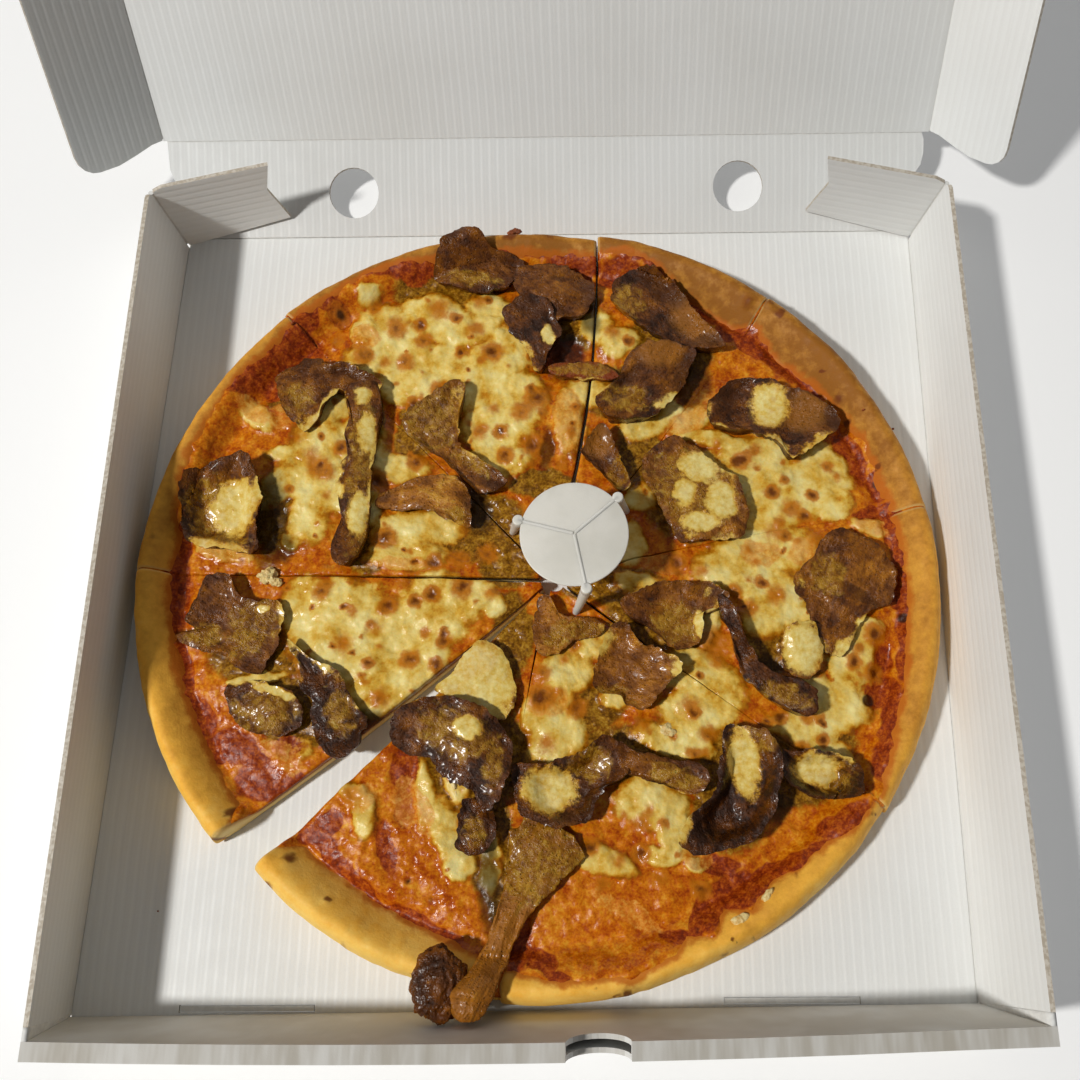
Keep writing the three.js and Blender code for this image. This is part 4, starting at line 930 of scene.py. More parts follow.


# rim is each shaving's outline where the camera sees it on a level 13 mm up; lean raises it towards one side
# light is how pale the roast is, with painted shading of its folds; covers are opaque cheese, glaze is thin and oily,
# pale is a cut face and dark is char, with painted shade below the rim and on meat_09's right side
meats = dict(
    meat_01=dict(high=5, form="sheet", light=0.42, lean=(-0.3, 0.25), grainTurn=-30, rim=[
        (-120, -1), (-113, 0), (-109, -8), (-103, -10), (-96, -9), (-92, -14), (-93, -22), (-95, -30), (-98, -36),
        (-104, -36), (-112, -31), (-118, -29), (-126, -27), (-130, -23), (-124, -21), (-127, -18), (-125, -12),
        (-123, -6)], glaze=[(-103, -20, 9, 13, -20), (-120, -23, 7, 5)], covers=[(-99, -13, 3, 2)]),
    meat_02=dict(high=4.5, form="dome", light=0.3, lean=(0, 0.2), grainTurn=20, rim=[
        (-110, -42), (-104, -40), (-97, -40), (-90, -42), (-84, -46), (-82, -52), (-84, -58), (-92, -60), (-100, -58),
        (-107, -52)], glaze=[(-95, -50, 12, 9)], covers=[(-92, -44, 8, 2.2, -15)]),
    meat_03=dict(high=5.5, form="roll", light=0.16, lean=(0.1, 0), grainTurn=-55, rim=[
        (-89, -25), (-85, -28), (-80, -32), (-74, -34), (-69, -38), (-66, -44), (-62, -50), (-58, -54), (-60, -60),
        (-64, -66), (-70, -67), (-76, -62), (-79, -55), (-80, -47), (-83, -42), (-84, -34), (-88, -29)],
        glaze=[(-68, -52, 6, 9, 20)]),
    meat_04=dict(high=7, form="roll", light=0.4, lean=(-0.1, 0.3), grainTurn=25, rim=[
        (-103, 82), (-97, 86), (-92, 90), (-86, 90), (-83, 86), (-76, 87), (-68, 84), (-62, 80), (-64, 74), (-72, 74),
        (-78, 76), (-83, 70), (-86, 63), (-90, 60), (-95, 63), (-100, 70), (-102, 76)], glaze=[(-92, 70, 6, 7)],
        dark=[(-90, 87, 12, 3, 5), (-74, 82, 12, 3, -10)]),
    meat_05=dict(high=8, form="dish", light=0.38, lean=(-0.1, 0.1), grainTurn=95, rim=[
        (-133, 40), (-126, 43), (-118, 46), (-111, 48), (-107, 42), (-105, 36), (-104, 28), (-105, 18), (-104, 12),
        (-107, 8), (-116, 10), (-124, 11), (-131, 14), (-133, 22), (-134, 30)], covers=[(-113.5, 26.5, 10, 11.5)],
        glaze=[(-122, 26, 9, 12), (-116, 13, 10, 3)]),
    meat_06=dict(high=8, form="roll", light=0.3, lean=(-0.35, 0), grainTurn=88, rim=[
        (-76, 76), (-70, 79), (-64, 78), (-61, 70), (-62, 60), (-62, 50), (-63, 40), (-63, 28), (-64, 15), (-68, 5),
        (-74, 3), (-76, 12), (-72.5, 20), (-75, 30), (-76.5, 36), (-74, 44), (-73, 52), (-74.5, 58), (-72.5, 66)],
        glaze=[(-66, 40, 5, 40)], dark=[(-74.5, 40, 2.4, 44)], covers=[(-66, 22, 4, 9), (-65, 55, 3.4, 9),
        (-67, 71, 4, 4)]),
    meat_07=dict(high=7, form="dome", light=0.72, lean=(0.1, 0.2), grainTurn=5, rim=[
        (-60, 31), (-54, 35), (-46, 38), (-38, 39), (-31, 39), (-27, 35), (-24, 28), (-24, 20), (-28, 19), (-34, 22),
        (-42, 25), (-52, 26), (-60, 27)], glaze=[(-30, 22, 5, 4)], dark=[(-57, 30, 4, 2.4, 20), (-25, 24, 2, 7)]),
    meat_08=dict(high=7, form="dome", light=0.4, lean=(-0.1, 0.1), grainTurn=-30, rim=[
        (-41, 135), (-37, 141), (-31, 143.5), (-24, 142), (-18, 138), (-12, 137), (-6, 134), (-8, 128), (-12, 123),
        (-18, 120), (-27, 120), (-35, 122), (-42, 126)], glaze=[(-28, 124, 12, 4)], dark=[(-34, 139, 6, 3, 30)]),
    # meat_09's first dark patch, on its right side, is painted shade
    meat_09=dict(high=8, form="dome", light=0.42, lean=(-0.1, 0.1), grainTurn=-15, rim=[
        (-9, 130), (0, 132), (10, 131), (18, 128), (22, 120), (20, 110), (14, 108), (6, 106), (0, 108), (-6, 116),
        (-10, 122)], dark=[(20, 116, 4, 11, 10), (9, 123, 6, 1.6), (6, 108, 9, 3)]),
    meat_10=dict(high=8.5, form="roll", light=0.26, lean=(-0.1, 0.2), grainTurn=-60, rim=[
        (-15, 110), (-11, 114), (-4, 117), (2, 116), (7, 108), (9, 101), (7, 96), (4, 90), (2, 84), (-1, 84),
        (-3, 90), (-6, 94), (-10, 100), (-13, 105)], covers=[(4.5, 97, 2.4, 5, 10)], dark=[(-4, 110, 9, 5, -20)]),
    meat_11=dict(high=5.5, form="sheet", light=0.42, lean=(-0.1, 0.1), grainTurn=-50, rim=[
        (-38, 76), (-32, 78), (-28, 76), (-29, 68), (-30, 60), (-29, 52), (-22, 46), (-14, 40), (-10, 36), (-14, 33),
        (-20, 32), (-26, 36), (-34, 44), (-42, 50), (-50, 57), (-52, 62), (-48, 68), (-43, 72)],
        glaze=[(-40, 62, 12, 16, -20), (-24, 46, 10, 7, -40)], dark=[(-17, 35, 8, 3, -20)]),
    meat_12=dict(high=6.5, form="sheet", light=0.3, lean=(0.1, 0.15), grainTurn=-45, rim=[
        (30, 121), (34, 127), (40, 129), (46, 129), (52, 125), (57, 119), (62, 112), (66, 104), (72, 98), (74, 92),
        (62, 92), (55, 94), (48, 97), (42, 102), (38, 106), (34, 110), (30, 115)], glaze=[(36, 112, 7, 8)],
        pale=[(62, 104, 7, 12, 30)], dark=[(50, 118, 14, 5, -40), (66, 94, 9, 3)]),
    meat_13=dict(high=5, form="roll", light=0.42, red=1, lean=(0, 0.2), grainTurn=0, rim=[
        (4, 84), (9, 86), (16, 86), (23, 87), (30, 84), (32, 80), (26, 79), (18, 80), (10, 80), (5, 81)],
        glaze=[(18, 83, 14, 3)]),
    meat_14=dict(high=11, form="roll", light=0.36, lean=(-0.1, 0.15), grainTurn=35, rim=[
        (34, 86), (38, 92), (44, 95), (52, 95), (58, 93), (62, 90), (60, 82), (56, 74), (50, 68), (44, 63), (36, 62),
        (28, 62), (23, 68), (27, 74), (33, 80)], pale=[(48, 88, 9, 7)], dark=[(58, 80, 4, 11, -25),
        (36, 76, 3, 9, -35)], glaze=[(34, 68, 9, 6)]),
    meat_15=dict(high=5.5, form="sheet", light=0.36, lean=(0.1, 0.2), grainTurn=-60, rim=[
        (18, 50), (22, 56), (27, 58), (30, 52), (34, 42), (36, 34), (32, 32), (27, 37), (22, 43), (17, 48)],
        glaze=[(31, 38, 4, 8, -20)], pale=[(24, 51, 5, 6)]),
    meat_16=dict(high=8, form="sheet", light=0.32, lean=(0.1, 0.1), grainTurn=-12, rim=[
        (66, 66), (70, 72), (75, 77), (82, 79), (90, 78), (98, 75), (106, 72), (112, 68), (117, 62), (116, 56),
        (110, 52), (104, 48), (98, 45), (94, 50), (84, 56), (76, 57), (68, 60)], covers=[(90, 65, 7.5, 9)],
        pale=[(104, 63, 9, 8)], dark=[(74, 70, 8, 6, 30), (114, 60, 3, 9, 10)]),
    meat_17=dict(high=8, form="dome", light=0.46, lean=(-0.1, 0.1), grainTurn=-45, rim=[
        (42, 46), (48, 53), (56, 54), (64, 48), (70, 42), (77, 36), (80, 28), (80, 18), (76, 13), (68, 12), (60, 12),
        (54, 12), (50, 20), (46, 28), (41, 36)], glaze=[(60, 32, 19, 18)], covers=[(62, 40, 8, 6, -30),
        (70, 26, 6, 8), (56, 30, 5, 6), (62, 18, 8, 4)]),
    meat_18=dict(high=5.5, form="dome", light=0.46, lean=(0, 0.1), grainTurn=60, rim=[
        (97, 0), (103, 6), (108, 12), (112, 16), (118, 15), (124, 11), (130, 8), (133, 2), (133, -6), (130, -13),
        (124, -15), (119, -20), (115, -26), (111, -33), (105, -30), (102, -22), (100, -14), (96, -6)],
        dark=[(120, -10, 10, 1.8, -38), (103, -26, 3, 8, 10)], glaze=[(108, -2, 7, 8)]),
    meat_19=dict(high=6.5, form="roll", light=0.5, lean=(0, 0.1), grainTurn=60, rim=[
        (92, -22), (97, -20), (102, -21), (104, -27), (105, -33), (101, -39), (95, -41), (91, -38), (89, -32),
        (90, -26)], covers=[(97, -30, 8, 10)], dark=[(91, -34, 2, 7)]),
    meat_20=dict(high=7.5, form="roll", light=0.14, lean=(0.1, 0.1), grainTurn=-50, rim=[
        (68, -9), (72, -12), (75, -18), (76, -24), (80, -32), (86, -38), (92, -40), (98, -42), (102, -48), (98, -54),
        (88, -50), (80, -44), (75, -40), (73, -33), (72, -25), (71, -18), (68, -14)], glaze=[(90, -47, 9, 4, -20)]),
    meat_21=dict(high=6, form="sheet", light=0.46, lean=(-0.05, 0.2), grainTurn=-12, rim=[
        (31, -12), (36, -9), (42, -6), (50, -5), (58, -5), (65, -5), (71, -10), (68, -14), (62, -16), (62, -23),
        (58, -28), (52, -30), (46, -24), (40, -20), (34, -17)], glaze=[(52, -20, 10, 8, -30)],
        dark=[(66, -9, 6, 3.4, -30)], covers=[(61, -19, 2.4, 5)]),
    meat_22=dict(high=8, form="dish", light=0.18, lean=(0, 0), grainTurn=-30, rim=[
        (88, -66), (93, -66), (100, -66), (107, -67), (113, -70), (115, -75), (113, -81), (106, -83), (98, -83),
        (92, -80), (88, -75), (87, -70)], covers=[(98.5, -73, 8, 5.5)], glaze=[(102, -75, 9, 6)]),
    meat_23=dict(high=6.5, form="sheet", light=0.56, lean=(0.15, 0.25), grainTurn=-20, rim=[
        (26, -24), (30, -20), (34, -20), (38, -26), (45, -29), (52, -33), (53, -38), (49, -41), (46, -46), (40, -51),
        (34, -50), (30, -46), (22, -44), (22, -36), (24, -30)], glaze=[(28, -47, 7, 6)],
        dark=[(31, -21, 4, 2.6, -20)]),
    meat_24=dict(high=9.5, form="dish", light=0.14, lean=(0.05, -0.1), grainTurn=-70, rim=[
        (68, -58), (74, -57), (80, -58), (85, -62), (87, -70), (86, -78), (84, -86), (80, -92), (76, -97), (70, -99),
        (64, -100), (58, -101), (52, -98), (51, -94), (55, -88), (60, -84), (62, -80), (65, -74), (67, -66)],
        covers=[(74, -71, 5.5, 12, 12)], glaze=[(76, -64, 9, 6)], pale=[(82, -62, 5, 4, -30)]),
    meat_25=dict(high=7, form="dish", light=0.26, lean=(0, -0.1), grainTurn=5, rim=[
        (-6, -70), (5, -70), (14, -68), (22, -62), (28, -61), (34, -66), (33, -74), (26, -78), (22, -84), (20, -90),
        (12, -92), (4, -91), (-3, -87), (-6, -80), (-7, -74)], covers=[(6.5, -79, 9.5, 8)], glaze=[(20, -70, 8, 6)],
        dark=[(20, -84, 4, 9), (8, -90, 14, 2.2, 8)]),
    meat_26=dict(high=7, form="roll", light=0.34, lean=(0, 0.15), grainTurn=-20, rim=[
        (30, -62), (36, -66), (44, -68), (52, -69), (58, -70), (62, -75), (60, -80), (54, -81), (46, -78), (38, -75),
        (31, -72)], glaze=[(50, -75, 10, 4, -15)]),
    meat_27=dict(high=10, form="roll", light=0.28, lean=(0, 0.05), grainTurn=-38, rim=[
        (-47, -50), (-40, -47), (-32, -46), (-24, -47), (-16, -51), (-10, -57), (-7, -65), (-8, -75), (-11, -83),
        (-16, -87), (-20, -80), (-28, -76), (-36, -68), (-44, -66), (-50, -62), (-50, -55)],
        covers=[(-22, -58, 5, 4.4, -20)], glaze=[(-26, -60, 14, 9, -20), (-13, -70, 4, 10)]),
    meat_28=dict(high=6, form="dome", light=0.2, lean=(0, 0), grainTurn=-60, rim=[
        (-24, -82), (-18, -82), (-13, -85), (-12, -92), (-15, -99), (-21, -101), (-26, -98), (-25, -90)],
        glaze=[(-19, -93, 4, 6)]),
    meat_29=dict(high=4.5, form="dome", light=0.5, lean=(0, 0.1), grainTurn=60, rim=[
        (-36, -44), (-30, -38), (-25, -31), (-20, -26), (-15, -27), (-10, -32), (-7, -38), (-6, -46), (-8, -52),
        (-14, -54), (-20, -50), (-28, -47)], covers=[(-20, -40, 16, 16)]),
    meat_30=dict(high=5, form="dome", light=0.6, lean=(-0.1, 0.1), grainTurn=-5, rim=[
        (0, -18), (2, -11), (6, -10), (9, -15), (14, -17), (22, -17), (27, -20), (24, -24), (16, -26), (10, -30),
        (4, -32), (0, -28), (-1, -23)], glaze=[(18, -22, 8, 4, -10), (8, -24, 5, 5)]),
)
meatForms = dict(
    sheet=lambda t, v: 0.7 + 0.3 * t ** 2,
    dome=lambda t, v: 0.98 - 0.22 * t ** 2,
    roll=lambda t, v: 0.5 + 0.5 * np.sqrt(np.clip(1 - 0.8 * v ** 2, 0, 1)),
    dish=lambda t, v: 0.4 + 0.6 * smooth(0.45, 0.85, t),
)
shaving = dict(
    pitch=0.6, ragged=1.5, fringe=0.75, fold=0.75, wave=1.3, pores=0.22, curl=1.5, thick=1.2, sunk=2.5,
    undercut=(0, 0.12, 2.0, 2.6), drawn=13, sharpFrom=55, patches=(("glaze", 0.5), ("pale", 0.4), ("dark", 0.6)),
)


def surfaceAt(x, y):
    inward = np.maximum(inwardOf(x, y), 0)
    high = doughTop(x, y, inward)
    return np.where(inward >= pizza["cheeseEdge"], high + cheeseThick(x, y, inward), high)


def smoothLoop(corners, count):
    # evenly spaced points on a soft closed curve through the corners
    p = np.array(corners, float)
    a, c, d = np.roll(p, 1, 0), np.roll(p, -1, 0), np.roll(p, -2, 0)
    t = np.linspace(0, 1, 8, endpoint=False)[None, :, None]
    a, b, c, d = (q[:, None, :] for q in (a, p, c, d))
    curve = 0.5 * (2 * b + (c - a) * t + (2 * a - 5 * b + 4 * c - d) * t ** 2 + (3 * b - a - 3 * c + d) * t ** 3)
    curve = curve.reshape(-1, 2)
    closed = np.vstack([curve, curve[:1]])
    steps = np.concatenate([[0], np.cumsum(np.hypot(*np.diff(closed, axis=0).T))])
    at = np.linspace(0, steps[-1], count, endpoint=False)
    return np.stack([np.interp(at, steps, closed[:, 0]), np.interp(at, steps, closed[:, 1])], 1)


def meatMesh(name, seed):
    made = meats[name]
    middle = np.mean(made["rim"], 0)
    level = float(surfaceAt(*middle)) + 0.8 * made["high"]
    foot = np.array(view["place"][:2])
    sink = (view["place"][2] - level) / (view["place"][2] - shaving["drawn"])
    loop = foot + (smoothLoop(made["rim"], 360) - foot) * sink
    middle = loop.mean(0)
    turn = np.linalg.eigh(np.cov((loop - middle).T))[1][:, ::-1]
    u, w = ((loop - middle) @ turn).T
    bend = np.polyfit(u, w, 2)
    w = w - np.polyval(bend, u)
    start = np.argmin(np.abs(np.arctan2(w, u)))
    u, w = np.roll(u, -start), np.roll(w, -start)
    if np.sum(u * np.roll(w, -1) - w * np.roll(u, -1)) < 0:
        u, w = np.roll(u[::-1], 1), np.roll(w[::-1], 1)
    turns = np.linspace(0, 2 * np.pi, len(u) + 1)
    widest = np.abs(w).max()
    segments = [max(12, round(2 * np.abs(side).max() / shaving["pitch"])) for side in (u, w)]
    first = 100 + 7 * seed  # of this shaving's own seeds
    lean, reachOut = made["lean"], np.abs(u).max()

    def spread(t, phi):
        su = np.interp(phi, turns, np.append(u, u[0])) * t
        sw = np.interp(phi, turns, np.append(w, w[0])) * t
        x, y = (np.stack([su, sw + np.polyval(bend, su)], 1) @ turn.T + middle).T
        return x, y, sw / widest

    def place(gu, gv, depth):
        t = np.maximum(np.abs(gu), np.abs(gv))
        phi = np.arctan2(gv, gu) % (2 * np.pi)
        bx, by = spread(np.ones(len(t)), phi)[:2]
        span = np.hypot(bx - middle[0], by - middle[1])
        jag = shaving["ragged"] * grain(bx, by, 5.5, first) + shaving["fringe"] * grain(bx, by, 2.1, first + 1, 3)
        jag = np.clip(jag, -0.3 * span, 2.5)
        inset = np.minimum(np.choose(depth.astype(int), shaving["undercut"]), 0.5 * span)
        size = t * (1 + (jag * t - inset) / span)
        x, y, v = spread(size, phi)
        under = surfaceAt(x, y)
        along, across = turnedAxes(x - middle[0], y - middle[1], made["grainTurn"])
        folds = 0.6 - 1.6 * np.abs(grain(along * 0.45 + 50, across, 5.2, first + 2))
        wave = grain(x, y, 11, first + 8, 2)
        form = meatForms[made["form"]](np.minimum(t, 1), np.clip(v, -1, 1))
        tilt = ((x - middle[0]) * lean[0] + (y - middle[1]) * lean[1]) / reachOut
        wx, wy = x + 1.6 * grain(x, y, 4.5, first + 4), y + 1.6 * grain(x, y, 4.5, first + 5)
        found = masks(x, y)
        cover = ovals(wx, wy, made.get("covers", []), 0.42)
        lapped = found["cream"] * smooth(0.45, 0.95, t + 0.3 * grain(x, y, 7, first + 10))
        lapped = lapped * smooth(-0.2, 0.25, grain(x, y, 12, first + 11, 2))
        cover = np.maximum(cover, 0.85 * lapped)
        glaze, pale, dark = (ovals(wx, wy, made.get(kind, []), soft) for kind, soft in shaving["patches"])
        bare = 1 - 0.8 * cover
        rough = bare * (shaving["fold"] * folds - shaving["pores"] * smooth(0.1, 0.5, grain(x, y, 1.5, first + 3, 2)))
        lip = shaving["curl"] * smooth(0.7, 1, t) * smooth(-0.3, 0.5, grain(bx, by, 10, first + 9, 2)) * bare
        top = under + made["high"] * (form + tilt) * (1 - 0.1 * dark) + rough
        top = top + shaving["wave"] * wave * bare + lip + 0.6 * cover
        top = np.maximum(top, under + 0.6)
        edgeFoot = np.maximum(top - shaving["thick"], lerp(under, top, 0.2))
        z = np.choose(depth.astype(int), [top, edgeFoot, lerp(under, edgeFoot, 0.3), under - shaving["sunk"]])
        fromRim = (1 - t) * span + 0.8 * grain(x, y, 2.6, first + 6)
        rim = smooth(1.5, 0.3, fromRim) * (1 - 0.8 * cover)
        found["cream"] = np.maximum(found["cream"], 0.9 * smooth(0, 0.5, cover))
        found["toast"] = 0.5 * found["toast"] + 0.5 * smooth(0.5, 0.1, cover) * smooth(0, 0.2, cover)
        found["shadowed"] = 0 * t
        found["olive"] = 0.35 * glaze
        marks = dict(
            found, cover=cover * (depth == 0), glaze=glaze, pale=pale,
            # the sides below the rim are darkened: painted shade under the overhang
            dark=np.clip(np.maximum(dark, rim * 0.8) + 0.7 * (depth > 1), 0, 1),
            # paler on raised folds and darker in their furrows: painted shading of the folds
            light=made["light"] + 0.3 * grain(x, y, 8, first + 7) + 0.14 * folds,
            red=np.full(len(t), float(made.get("red", 0))), weftU=along * 0.55, weftV=across,
        )
        return np.stack([x, y, z], 1), marks

    return drapedBody(name + "_shaving", *segments, 3, place, shaving["sharpFrom"])


meatLook = dict(
    brown=shades((0.1, 46, 20, 2), (0.35, 90, 46, 6), (0.58, 128, 74, 12), (0.8, 166, 104, 24), (1.0, 196, 142, 48)),
    red=tone(138, 54, 6), char=tone(66, 32, 4), pale=tone(162, 102, 28),
    # over the meat cheese goes from an amber film to a pale pool
    cover=shades((0.25, 130, 78, 6), (0.45, 186, 132, 30), (0.7, 216, 184, 86), (1.0, 236, 222, 152)),
    oil=shades((0.3, 78, 44, 2), (0.46, 136, 88, 10), (0.6, 176, 130, 36), (0.8, 204, 180, 92)),
)


def meatMaterial():
    constants = {"Specular IOR Level": 0.24, "Coat Roughness": 0.16, **seeping(0.05, (1.0, 0.4, 0.2), 0.0012)}
    material, kit, shader = newMaterial("roast meat", constants)
    weft = kit.put("CombineXYZ", {0: kit.mark("weftU"), 1: kit.mark("weftV")})
    fibres = kit.put("TexNoise", {"Vector": weft, "Scale": 0.75, "Detail": 4.0, "Roughness": 0.65})
    wide, middle, fine = kit.noise(6, 3, 0.6), kit.noise(1.9, 3, 0.65), kit.noise(0.6, 2, 0.6)
    pores = kit.put("TexVoronoi", {"Vector": kit.place(), "Scale": 1000 / 1.5, "Randomness": 1.0}, "Distance")
    pitted = kit.ease(kit.plus(fine, 0.35, pores), 0.28, 0.5)
    shade = kit.sway(fine, 0.15, kit.sway(wide, 0.85, kit.sway(fibres, 0.7, kit.mark("light"))))
    colour = kit.ramp(shade, meatLook["brown"])
    colour = kit.mix(kit.times(kit.mark("red"), 0.7), colour, meatLook["red"])
    colour = kit.mix(kit.times(kit.mark("pale"), 0.6), colour, meatLook["pale"])
    colour = kit.speckle(0.3, colour, pitted, (0.42, 0.34, 0.24, 1), 0.0, 0.7)
    # char, together with painted shade where the dark mark holds it
    dark = kit.sway(middle, 0.55, kit.mark("dark"))
    colour = kit.mix(kit.ease(dark, 0.35, 1.15, 0.0, 0.75), colour, meatLook["char"])
    swirl = kit.noise(4.2, 3, 0.6, distort=0.8)
    oily = kit.sway(swirl, 1.7, kit.mark("glaze"))
    oil = kit.ramp(kit.plus(swirl, 0.75, kit.times(middle, 0.25)), meatLook["oil"])
    oiled = kit.ease(oily, 0.35, 1.05, 0.0, 0.82)
    colour = kit.mix(oiled, colour, oil)
    melt = meltOn(kit)
    covering = kit.sway(wide, 0.8, kit.sway(middle, 1.2, kit.mark("cover")))
    pooled = kit.mix(0.3, kit.ramp(kit.times(covering, 0.85), meatLook["cover"]), melt["Color"])
    cover = kit.ease(covering, 0.15, 0.7)
    colour = kit.mix(cover, colour, pooled)
    wet = kit.math("MAXIMUM", kit.math("MAXIMUM", oiled, kit.ease(wide, 0.36, 0.58, 0.0, 0.65)), cover)
    relief = kit.plus(pitted, 0.3, kit.plus(middle, 0.5, kit.plus(fibres, 0.5, kit.times(fine, 0.35))))
    settled = kit.put("Mix", {0: cover, 2: relief, 3: kit.times(melt["Height"], 0.6)}, 0, data_type="FLOAT")
    kit.feed(shader.inputs, {
        "Base Color": colour, "Roughness": kit.ease(wet, 0.0, 0.75, 0.55, 0.2), "Coat Weight": kit.times(wet, 0.35),
        "Normal": kit.bump(settled, 0.8),
    })
    return material


meatFinish = meatMaterial()
for number, name in enumerate(meats, 1):
    addPiece(name + "_shaving", meatMesh(name, number), meatFinish, stands=[name])
print("meat laid out")


# the long strip hangs over the crust: middle, half width and height of each row, from the pizza outward
strip = dict(
    rows=[(9, -91, 11, 3.5), (5, -98, 13, 4.5), (1, -107, 9.5, 5), (-5, -117, 5.5, 5.5), (-9, -127, 4.5, 6.5),
          (-13, -137, 5, 8), (-18, -146, 6.5, 10.5), (-21, -151.6, 5.5, 12)],
    columns=40, lengthRows=120, end=-151.9, perch=16, glossyTo=-117, undercut=(0, 0.1, 1.4, 1.8), curl=1.3,
    thick=1.4, sunk=1.6, roundFrom=6.1,
    lump=dict(middle=(-28.5, -141, 19.6), radii=(10, 12.6, 7.6), size=0.74, ridge=0.16, crumple=0.07),
)


def stripMesh():
    rows = np.array(strip["rows"], float)
    last = len(rows) - 1

    def rowAt(at, count):
        return [np.interp(at, np.arange(len(rows)), rows[:, k]) for k in range(count)]

    def place(gu, gv, depth):
        at = (gv + 1) / 2 * last
        cx, cy, half, high = rowAt(at, 4)
        ahead, behind = rowAt(np.minimum(at + 0.6, last), 2), rowAt(np.maximum(at - 0.6, 0), 2)
        wayX, wayY = (far - near for far, near in zip(ahead, behind))
        length = np.hypot(wayX, wayY)
        wayX, wayY = wayX / length, wayY / length
        under = np.choose(depth.astype(int), strip["undercut"])
        rounded = np.sqrt(np.clip(1 - (np.clip(at - strip["roundFrom"], 0, 0.9) / 0.94) ** 2, 0.03, 1))
        half, high = half * lerp(0.25, 1, rounded), high * lerp(0.55, 1, rounded)
        reach = half * (1 + 0.2 * grain(cx + 9 * gu, cy, 4.2, 301)) - np.minimum(under, half * 0.5)
        taper = smooth(0, 0.5, at) * 0.35 + 0.65
        x = cx - wayY * gu * reach * taper
        y = np.maximum(cy + wayX * gu * reach * taper, strip["end"])
        low = np.where(inwardOf(x, y) < 4, np.maximum(surfaceAt(x, y), strip["perch"]), surfaceAt(x, y))
        folds = 0.5 - 1.5 * np.abs(grain(at * 2.4, gu * reach + 30, 3.4, 302))
        fibre = grain(x, y, 2, 303, 2)
        curl = strip["curl"] * smooth(0.6, 1, np.abs(gu)) * smooth(-0.2, 0.5, grain(x, y, 8, 304))
        top = low + high * (0.45 + 0.55 * np.sqrt(1 - 0.8 * gu ** 2)) + 0.7 * folds + 0.3 * fibre + curl
        top = np.maximum(top, low + 0.6)
        foot = np.maximum(top - strip["thick"], lerp(low, top, 0.25))
        z = np.choose(depth.astype(int), [top, foot, lerp(low, foot, 0.3), low - strip["sunk"]])
        gloss = smooth(strip["glossyTo"] - 5, strip["glossyTo"] + 6, y)
        border = smooth(0.86, 1, np.abs(gu))
        marks = dict(
            # paler on raised folds and darker in their furrows: painted shading of the folds
            light=0.62 + 0.2 * grain(x, y, 6, 305) + 0.12 * folds,
            # darker borders, and painted shade on the sides below the rim
            dark=np.clip(0.55 * border + 0.7 * (depth > 1), 0, 1),
            glaze=lerp(0.2, 0.95, gloss), pale=0.8 * (1 - gloss), weftU=at * 1.2, weftV=gu * reach,
        )
        return np.stack([x, y, z], 1), marks

    return drapedBody("meat_strip_ribbon", strip["columns"], strip["lengthRows"], 3, place)


def lumpMesh():
    # the strip's crinkled, darker end
    lump = strip["lump"]
    bm = bmesh.new()
    bmesh.ops.create_icosphere(bm, subdivisions=6, radius=1)
    values = []
    for v in bm.verts:
        way = v.co.normalized()
        ridges = noise.ridged_multi_fractal(way * 0.9 + Vector((3, 1, 7)), 1.1, 2.1, 3, 1.0, 2.0)
        size = lump["size"] + lump["ridge"] * ridges + lump["crumple"] * noise.fractal(way * 5, 0.8, 2.0, 3)
        values.append(ridges)
        v.co = Vector([m + r * size * c for m, r, c in zip(lump["middle"], lump["radii"], way)]) * mm
    mesh = finishMesh("meat_strip_lump", bm)
    ridges = np.array(values)
    # lighter on the ridges and darker in the hollows between them: painted shading of the crinkles
    addMarks(mesh, dict(light=0.2 + 0.3 * smooth(0.6, 1.8, ridges), dark=0.62 - 0.5 * smooth(0.6, 1.6, ridges)))
    return mesh


addPiece("meat_strip_ribbon", stripMesh(), meatFinish, stands=["meat_strip"])
addPiece("meat_strip_lump", lumpMesh(), meatFinish)
print("strip laid out")


# the pizza saver: a disc on three legs with ribs across its top and knobs where the legs join
saver = dict(
    at=(15.5, 7.4), height=36.7, radius=19.4, thick=1.5, bevel=0.45, taper=0.3, legRadius=(2, 1.3), shoulder=2,
    knob=(2.1, 3.4), knobTaper=0.94, knobBevel=0.5,
    # each leg's way round in degrees and where its foot stands
    legs=((165.5, (-8.8, 17.6)), (41, (34.5, 25)), (-78, (15.3, -14.1))),
    ribHigh=0.5, segments=96, overhang=1.2, rib=(0.72, 0.66), ribStart=0.4, ribSunk=0.2,
    white=tone(226, 223, 213), shade=tone(216, 213, 202),
)


def plasticMaterial():
    constants = {"Roughness": 0.38, "Specular IOR Level": 0.4, **seeping(0.35, (1.0, 0.95, 0.85), 0.002)}
    material, kit, shader = newMaterial("milky plastic", constants)
    cloud = kit.ease(kit.noise(14, 3, 0.5), 0.35, 0.7)
    relief = kit.plus(kit.noise(0.7, 2, 0.5), 0.25, kit.noise(6, 2, 0.5))
    colour = kit.mix(cloud, saver["white"], saver["shade"])
    kit.feed(shader.inputs, {"Base Color": colour, "Normal": kit.bump(relief, 0.1)})
    return material


def roundEdges(bm, edges, offset):
    bmesh.ops.bevel(bm, geom=edges, offset=offset * mm, segments=3, profile=0.5, affect="EDGES")


